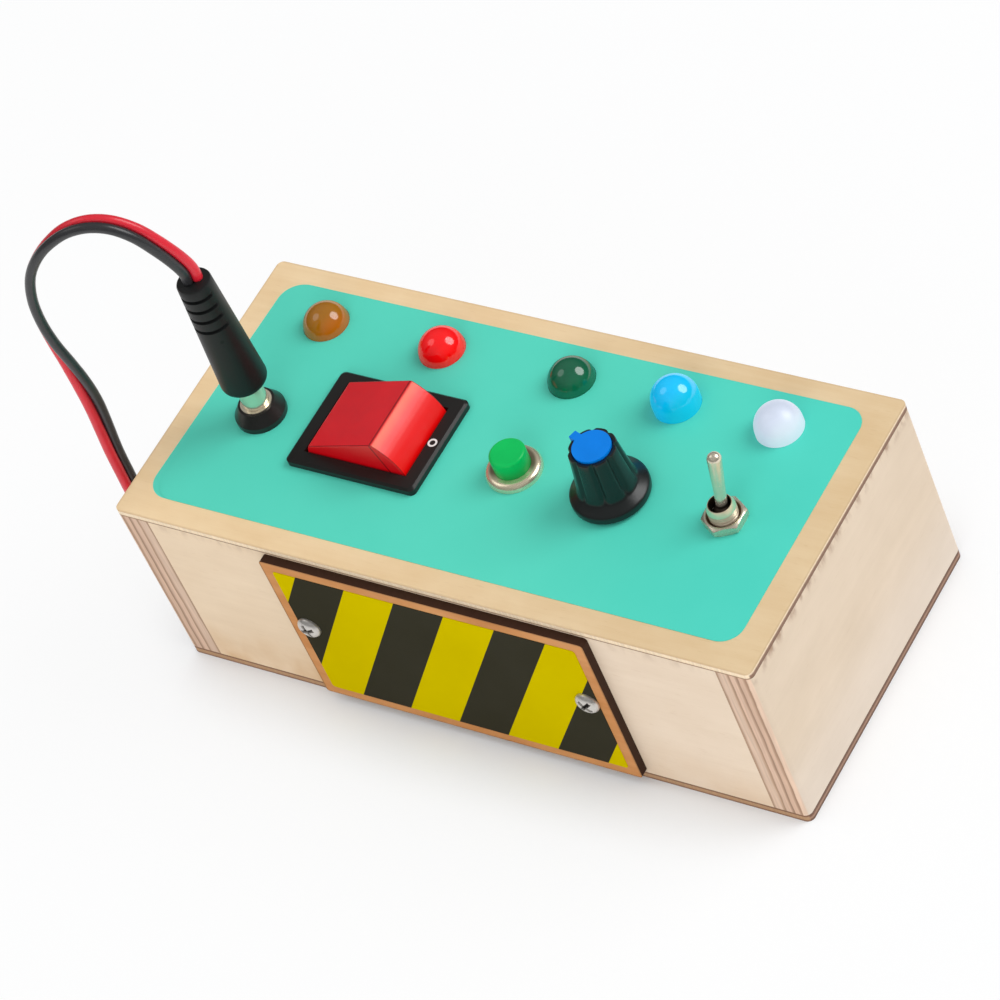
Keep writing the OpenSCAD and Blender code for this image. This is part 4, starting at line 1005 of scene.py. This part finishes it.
# Painted shade: thin dark lines along the ridge and the top edges of the sides, and a darker red on the
# sides.
ridge_line = fading(abs(lengthwise - (ridge - 0.25)), 0.12, 0.28)
on_side = red.facing(1)
side_line = between(abs(red.y - PIVOT[1]), ROCKER_WIDTH / 2 - 0.32, ROCKER_WIDTH / 2 - 0.2)
painted_shade_lines = calc("MAXIMUM", ridge_line, side_line * (1 - on_side)) * 0.75
red.over(on_side, (0.62, 0.001, 0.006))
red.over(painted_shade_lines, (0.12, 0.001, 0.002))
# Painted glow: the red plastic gives out a little light of its own, though it is no lamp.
red.put(emission_color=red.colour, emission_strength=0.12)
print("the ridge of the rocker is", round(ridge, 1), "mm from its pivot")


# %% The rocker as one piece
def lean_to_flats(mesh):
    """Turns each point's normal towards its largest faces, so that flats between round edges look flat."""
    normals = np.zeros((len(mesh.vertices), 3))
    for face in mesh.polygons:
        for v in face.vertices:
            normals[v] += np.array(face.normal) * face.area
    normals /= np.maximum(np.linalg.norm(normals, axis=1, keepdims=True), 1e-12)
    mesh.normals_split_custom_set_from_vertices(normals.tolist())


rocker_block = new_piece("rocker_block", merged(block, *pegs), red, "rocker_cap", "rocker")
lean_to_flats(rocker_block.data)
print("rocker block has", len(rocker_block.data.polygons), "faces")

# %% Frame of the rocker with its printed ring
MARK_PLACE = (-14.7, -1.9)
MARK_RADIUS = 0.82
MARK_LINE = 0.19
black = moulded("frame_black", (0.012, 0.011, 0.010), 0.36, 0.3, specular_ior_level=0.35)
off_line = abs(black.from_axis(MARK_PLACE) - MARK_RADIUS)
mark = fading(off_line, MARK_LINE, MARK_LINE + 0.06) * between(black.z, DECK + 0.9, DECK + 1.3)
black.over(mark, (0.80, 0.80, 0.78))
dress(black, "rocker_housing")
print("ring mark is", 2 * (MARK_RADIUS + MARK_LINE), "mm across")

# %% [markdown]
# ## The knob
# The knob is a tapered grip on a round skirt. Eight narrow grooves part its side into broad lobes.
# One ring of points is made at each height. Its radius is the outline's radius at that height,
# less the depth of a groove where one passes, and the grooves run out into the skirt.
# The rim has a notch, in which the pointer of the blue cap lies.

# %% Knob
KNOB_PLACE = (27.4, -2.4)
knob_low, knob_high = box_mm("knob_grip")
KNOB_HEIGHT = knob_high.z - knob_low.z
RECESS = KNOB_HEIGHT - 1.2
LOBES = 8
GROOVE_DEPTH = 0.6
GROOVE_SHARPNESS = 12
POINTER = math.radians(162)
NOTCH_HALF = 0.95
knob_outline = [
    (0.5, 0.0, 0), (7.95, 0.0, 0), (8.2, 0.2, 0), (8.25, 0.45, 0), (8.25, 1.35, 0), (8.2, 1.6, 0),
    (8.05, 1.82, 0), (7.8, 2.02, 0), (7.5, 2.24, 0), (6.45, 3.02, 0), (6.22, 3.3, 0.15),
    (6.12, 3.65, 0.35), (6.08, 4.0, 0.6), (6.0, 4.7, 0.88), (5.88, 5.5, 1), (5.8, 6.0, 1),
    (5.45, 9.0, 1), (5.1, 12.2, 1), (5.0, KNOB_HEIGHT - 0.35, 1), (4.94, KNOB_HEIGHT - 0.12, 1),
    (4.85, KNOB_HEIGHT, 0.8), (4.15, KNOB_HEIGHT, 0), (4.05, KNOB_HEIGHT - 0.1, 0), (4.03, RECESS, 0),
    (0.5, RECESS, 0),
]


def knob_point(level, angle):
    radius, height, grooved = level
    turn = angle - POINTER
    radius -= GROOVE_DEPTH * grooved * math.cos(LOBES * turn / 2) ** GROOVE_SHARPNESS
    if math.cos(turn) > 0 and abs(radius * math.sin(turn)) < NOTCH_HALF and height > RECESS:
        height = RECESS
    return round_point(KNOB_PLACE, radius, angle, knob_low.z + height)


knob_black = moulded("knob_black", (0.006, 0.008, 0.008), 0.30)
knob_shape = skin(stacked(knob_outline, 24 * LOBES, knob_point))
new_piece("lobed_knob", knob_shape, knob_black, "knob_grip", "knob", 50)
print("knob has", LOBES, "lobes and", len(knob_shape[1]), "faces")

# %% [markdown]
# ## The toggle switch
# The lever stands in a hollow threaded bush, and a hexagon nut clamps the bush to the face.
# The thread is a row of small ridges on the outline that is turned. Below the face the bush ends
# in a flat plate. A nut's corners are cut off by a cone, so each ring of the nut is the smaller
# of a hexagon and a circle.

# %% Threaded bush of the toggle switch
BUSH_BORE = 2.2
BUSH_RADIUS = 3.0
THREAD_PITCH = 0.7
THREAD_DEPTH = 0.28
PLATE = 0.8
PLATE_CORNER = 0.6
BUSH_BEVEL = 0.5
bush_outline = [(BUSH_BORE, bush_low.z), (BUSH_BORE, BUSH_TOP - 0.1), (BUSH_BORE + 0.08, BUSH_TOP),
                (BUSH_RADIUS - BUSH_BEVEL, BUSH_TOP)]
height = BUSH_TOP - 2 * BUSH_BEVEL
while height > bush_low.z + PLATE + THREAD_PITCH:
    for radius, down in ((BUSH_RADIUS, 0.15), (BUSH_RADIUS, 0.4), (BUSH_RADIUS - THREAD_DEPTH, 0.7)):
        bush_outline.append((radius, height - down * THREAD_PITCH))
    height -= THREAD_PITCH
bush_outline.append((BUSH_RADIUS - THREAD_DEPTH, bush_low.z))
plate_line = []
half_plate = (bush_high - bush_low) / 2
for right, back, first in ((1, 1, 0), (-1, 1, 90), (-1, -1, 180), (1, -1, 270)):
    middle = (TOGGLE_PLACE[0] + right * (half_plate.x - PLATE_CORNER),
              TOGGLE_PLACE[1] + back * (half_plate.y - PLATE_CORNER))
    quarter = np.radians(first + np.linspace(0, 90, 7))
    plate_line += [round_point(middle, PLATE_CORNER, a, bush_low.z) for a in quarter]
plate_bore = [round_point(TOGGLE_PLACE, BUSH_BORE, a, bush_low.z) for a in angles(len(plate_line))]
plate_rings = [[(across, along, height + up) for across, along, height in line]
               for line, up in ((plate_bore, 0), (plate_line, 0), (plate_line, PLATE), (plate_bore, PLATE))]
bush_nickel = plated("bush_nickel", (0.98, 0.83, 0.62), 0.32)
# Painted shade: the bore of the bush is dark and dull, since little light gets into it.
in_bore = fading(bush_nickel.from_axis(TOGGLE_PLACE), BUSH_BORE + 0.1, BUSH_BORE + 0.3)
shade(bush_nickel, in_bore, (0.05, 0.035, 0.02))
bush = merged(turned(bush_outline, TOGGLE_PLACE, 64, loop=True), skin(plate_rings, loop=True))
new_piece("threaded_bush", bush, bush_nickel, "toggle_bush")
print("bush stands", round(BUSH_TOP - DECK, 1), "mm above the face")

# %% Hexagon nut of the toggle switch
NUT_FLATS = 8.2
NUT_HEIGHT = 2.0
NUT_FACE = 3.95
CHAMFER = 0.45
SINK = 0.6
ROUND = 99
corner = NUT_FLATS / 2 / math.cos(math.pi / 6)
bore = BUSH_RADIUS + 0.03
nut_top = DECK + NUT_HEIGHT
nut_levels = [(ROUND, bore, DECK), (NUT_FLATS, corner - 0.4, DECK), (NUT_FLATS, corner, DECK + 0.25)]
nut_levels += [(NUT_FLATS, corner + (NUT_FACE - corner) * share, nut_top - CHAMFER * (1 - share))
               for share in np.linspace(0, 1, 7)]
nut_levels += [(ROUND, bore + SINK, nut_top), (ROUND, bore, nut_top - SINK)]


def nut_point(level, angle):
    """A point of a hexagon with a flat to the right, whose corners are cut off at a radius."""
    across_flats, limit, height = level
    from_flat = (angle + math.pi / 6) % (math.pi / 3) - math.pi / 6
    return round_point(TOGGLE_PLACE, min(across_flats / 2 / math.cos(from_flat), limit), angle, height)


nut_nickel = plated("nut_nickel", (0.76, 0.68, 0.54), 0.26)
# Painted shade: the countersink round the bush is dark and dull.
in_sink = fading(nut_nickel.from_axis(TOGGLE_PLACE), bore + 0.6 * SINK, bore + 1.1 * SINK)
shade(nut_nickel, in_sink, (0.16, 0.10, 0.055))
nut_shape = skin(stacked(nut_levels, 96, nut_point), loop=True)
new_piece("toggle_hex_nut", nut_shape, nut_nickel, "toggle_nut", sharp=24)
print("nut is", NUT_FLATS, "mm across its flats")

# %% [markdown]
# ## The plug
# The plug is moulded over the end of the lead. Slots in its neck let it bend: each slot goes
# most of the way round and leaves a web on one side, and the plug widens to a rounded foot.
# Rings of points are stacked up its axis, and inside a slot the radius is smaller wherever the
# angle is away from the web.

# %% Plug
PLUG_LENGTH = plug_high.z - plug_low.z
FOOT_RADIUS = 5.1
HEAD_RADIUS = 3.65
FOOT_ROUND = 1.8
HEAD_ROUND = 0.5
SLOT_PLACES = [PLUG_LENGTH - 2.75 - 2.9 * i for i in range(4)]
SLOT_HALF = 0.45
SLOT_SLOPE = 0.12
SLOT_DEPTH = 0.6
WEB_ANGLE = math.radians(25)
WEB_HALF = math.radians(28)
plug_heights = [0.0, 8.0, 14.0, PLUG_LENGTH - HEAD_ROUND, PLUG_LENGTH - 0.15, PLUG_LENGTH]
plug_heights += [FOOT_ROUND * (1 - math.cos(a)) for a in np.linspace(0.2, math.pi / 2, 9)]
for off in (-SLOT_HALF, SLOT_SLOPE - SLOT_HALF, SLOT_HALF - SLOT_SLOPE, SLOT_HALF):
    plug_heights += [place + off for place in SLOT_PLACES]


def plug_radius(height):
    return FOOT_RADIUS + (HEAD_RADIUS - FOOT_RADIUS) * height / PLUG_LENGTH


def plug_point(height, angle):
    radius = plug_radius(height)
    if height < FOOT_ROUND:
        radius -= FOOT_ROUND - math.sqrt(FOOT_ROUND ** 2 - (FOOT_ROUND - height) ** 2)
    past_neck = height - (PLUG_LENGTH - HEAD_ROUND)
    if past_neck > 0:
        radius -= HEAD_ROUND - math.sqrt(max(HEAD_ROUND ** 2 - past_neck ** 2, 0))
    from_web = abs((angle - WEB_ANGLE + math.pi) % (2 * math.pi) - math.pi)
    in_slot = any(abs(height - place) < SLOT_HALF - 0.05 for place in SLOT_PLACES)
    if in_slot and from_web > WEB_HALF:
        radius -= SLOT_DEPTH * min(1.0, (from_web - WEB_HALF) / SLOT_SLOPE)
    return round_point(PLUG_PLACE, radius, angle, plug_low.z + height)


print("plug is", round(PLUG_LENGTH, 1), "mm long with", len(SLOT_PLACES), "slots")

# %% Rubber of the plug, with painted shade at the dimple where it was filled in the mould
GATE_ANGLE = math.radians(-46)
GATE_HEIGHT = 17.0
GATE_RADIUS = 0.42
gate = round_point(PLUG_PLACE, plug_radius(GATE_HEIGHT), GATE_ANGLE, plug_low.z + GATE_HEIGHT)
rubber = moulded("plug_rubber", (0.009, 0.010, 0.010), 0.42, 0.3, specular_ior_level=0.3)
# Painted shade: a dark dot stands in for the dimple, which the mesh does not have.
off_gate = between(measure("DISTANCE", rubber.vector, gate), GATE_RADIUS - 0.1, GATE_RADIUS + 0.1)
rubber.put(base_color=blend(off_gate, (0.003, 0.003, 0.003), rubber.colour))
plug_shape = skin(stacked(sorted(plug_heights), 96, plug_point))
new_piece("slotted_plug", plug_shape, rubber, "plug_body", "plug", 35)
print("the lead ends in the plug")

# %% [markdown]
# ## The door's screws
# Two zinc-plated screws hold the door. A head is a low dome, and its cross is sunk into the
# dome. Rings of points spread out from the middle, and the points that lie inside the cross are
# lowered, with a short slope at its edges. The cross is dark, because little light gets into it.

# %% Door screws
screws_low, screws_high = box_mm("door_screws")
label_face = box_mm("striped_label")[0].y
HEAD_RISE = label_face - screws_low.y
SCREW_RADIUS = (screws_high.z - screws_low.z) / 2
SCREW_X = screws_high.x - SCREW_RADIUS
SCREW_Z = (screws_high.z + screws_low.z) / 2
SHANK_RADIUS = 1.5
SHANK_LENGTH = screws_high.y - label_face
CROSS_REACH = 1.75
CROSS_HALF = 0.36
CROSS_DEPTH = 0.9
spread = np.concatenate((np.linspace(0.02, 2.3, 26), np.linspace(2.35, SCREW_RADIUS, 6)))
dome = HEAD_RISE * np.sqrt(1 - 0.94 * (spread / SCREW_RADIUS) ** 3)
screw_levels = [(radius, rise, CROSS_DEPTH) for radius, rise in zip(spread, dome)]
screw_levels += [(SCREW_RADIUS, 0, 0), (SHANK_RADIUS, 0, 0), (SHANK_RADIUS, 1 - SHANK_LENGTH, 0),
                 (0.3, -SHANK_LENGTH, 0)]


def cross_share(u, v):
    """1 inside the cross, 0 outside it and a short slope between them."""
    reach, half = max(abs(u), abs(v)), min(abs(u), abs(v))
    beside_arm = min(max((CROSS_HALF - half) / 0.12 + 0.5, 0), 1)
    return beside_arm * min(max((CROSS_REACH - reach) / 0.15, 0), 1)


def screw(middle_x, turn):
    """Points and faces of one screw whose head looks towards the front."""
    def point_at(level, angle):
        radius, rise, depth = level
        rise -= depth * cross_share(radius * math.cos(angle - turn), radius * math.sin(angle - turn))
        return middle_x + radius * math.cos(angle), label_face - rise, SCREW_Z + radius * math.sin(angle)

    return skin(stacked(screw_levels, 120, point_at))


zinc = plated("screw_zinc", (0.66, 0.63, 0.59), 0.36)
from_screw = length(abs(zinc.x) - SCREW_X, zinc.z - SCREW_Z)
in_cross = fading(from_screw, CROSS_REACH - 0.1, CROSS_REACH + 0.1)
sunk = between(zinc.y, screws_low.y + 0.45, screws_low.y + 0.75)
shade(zinc, in_cross * sunk, (0.05, 0.042, 0.036))
both_screws = merged(screw(-SCREW_X, 0.35), screw(SCREW_X, 0.8))
new_piece("cross_screws", both_screws, zinc, "door_screws", sharp=30)
print("screw heads stand", round(HEAD_RISE, 2), "mm above the label")
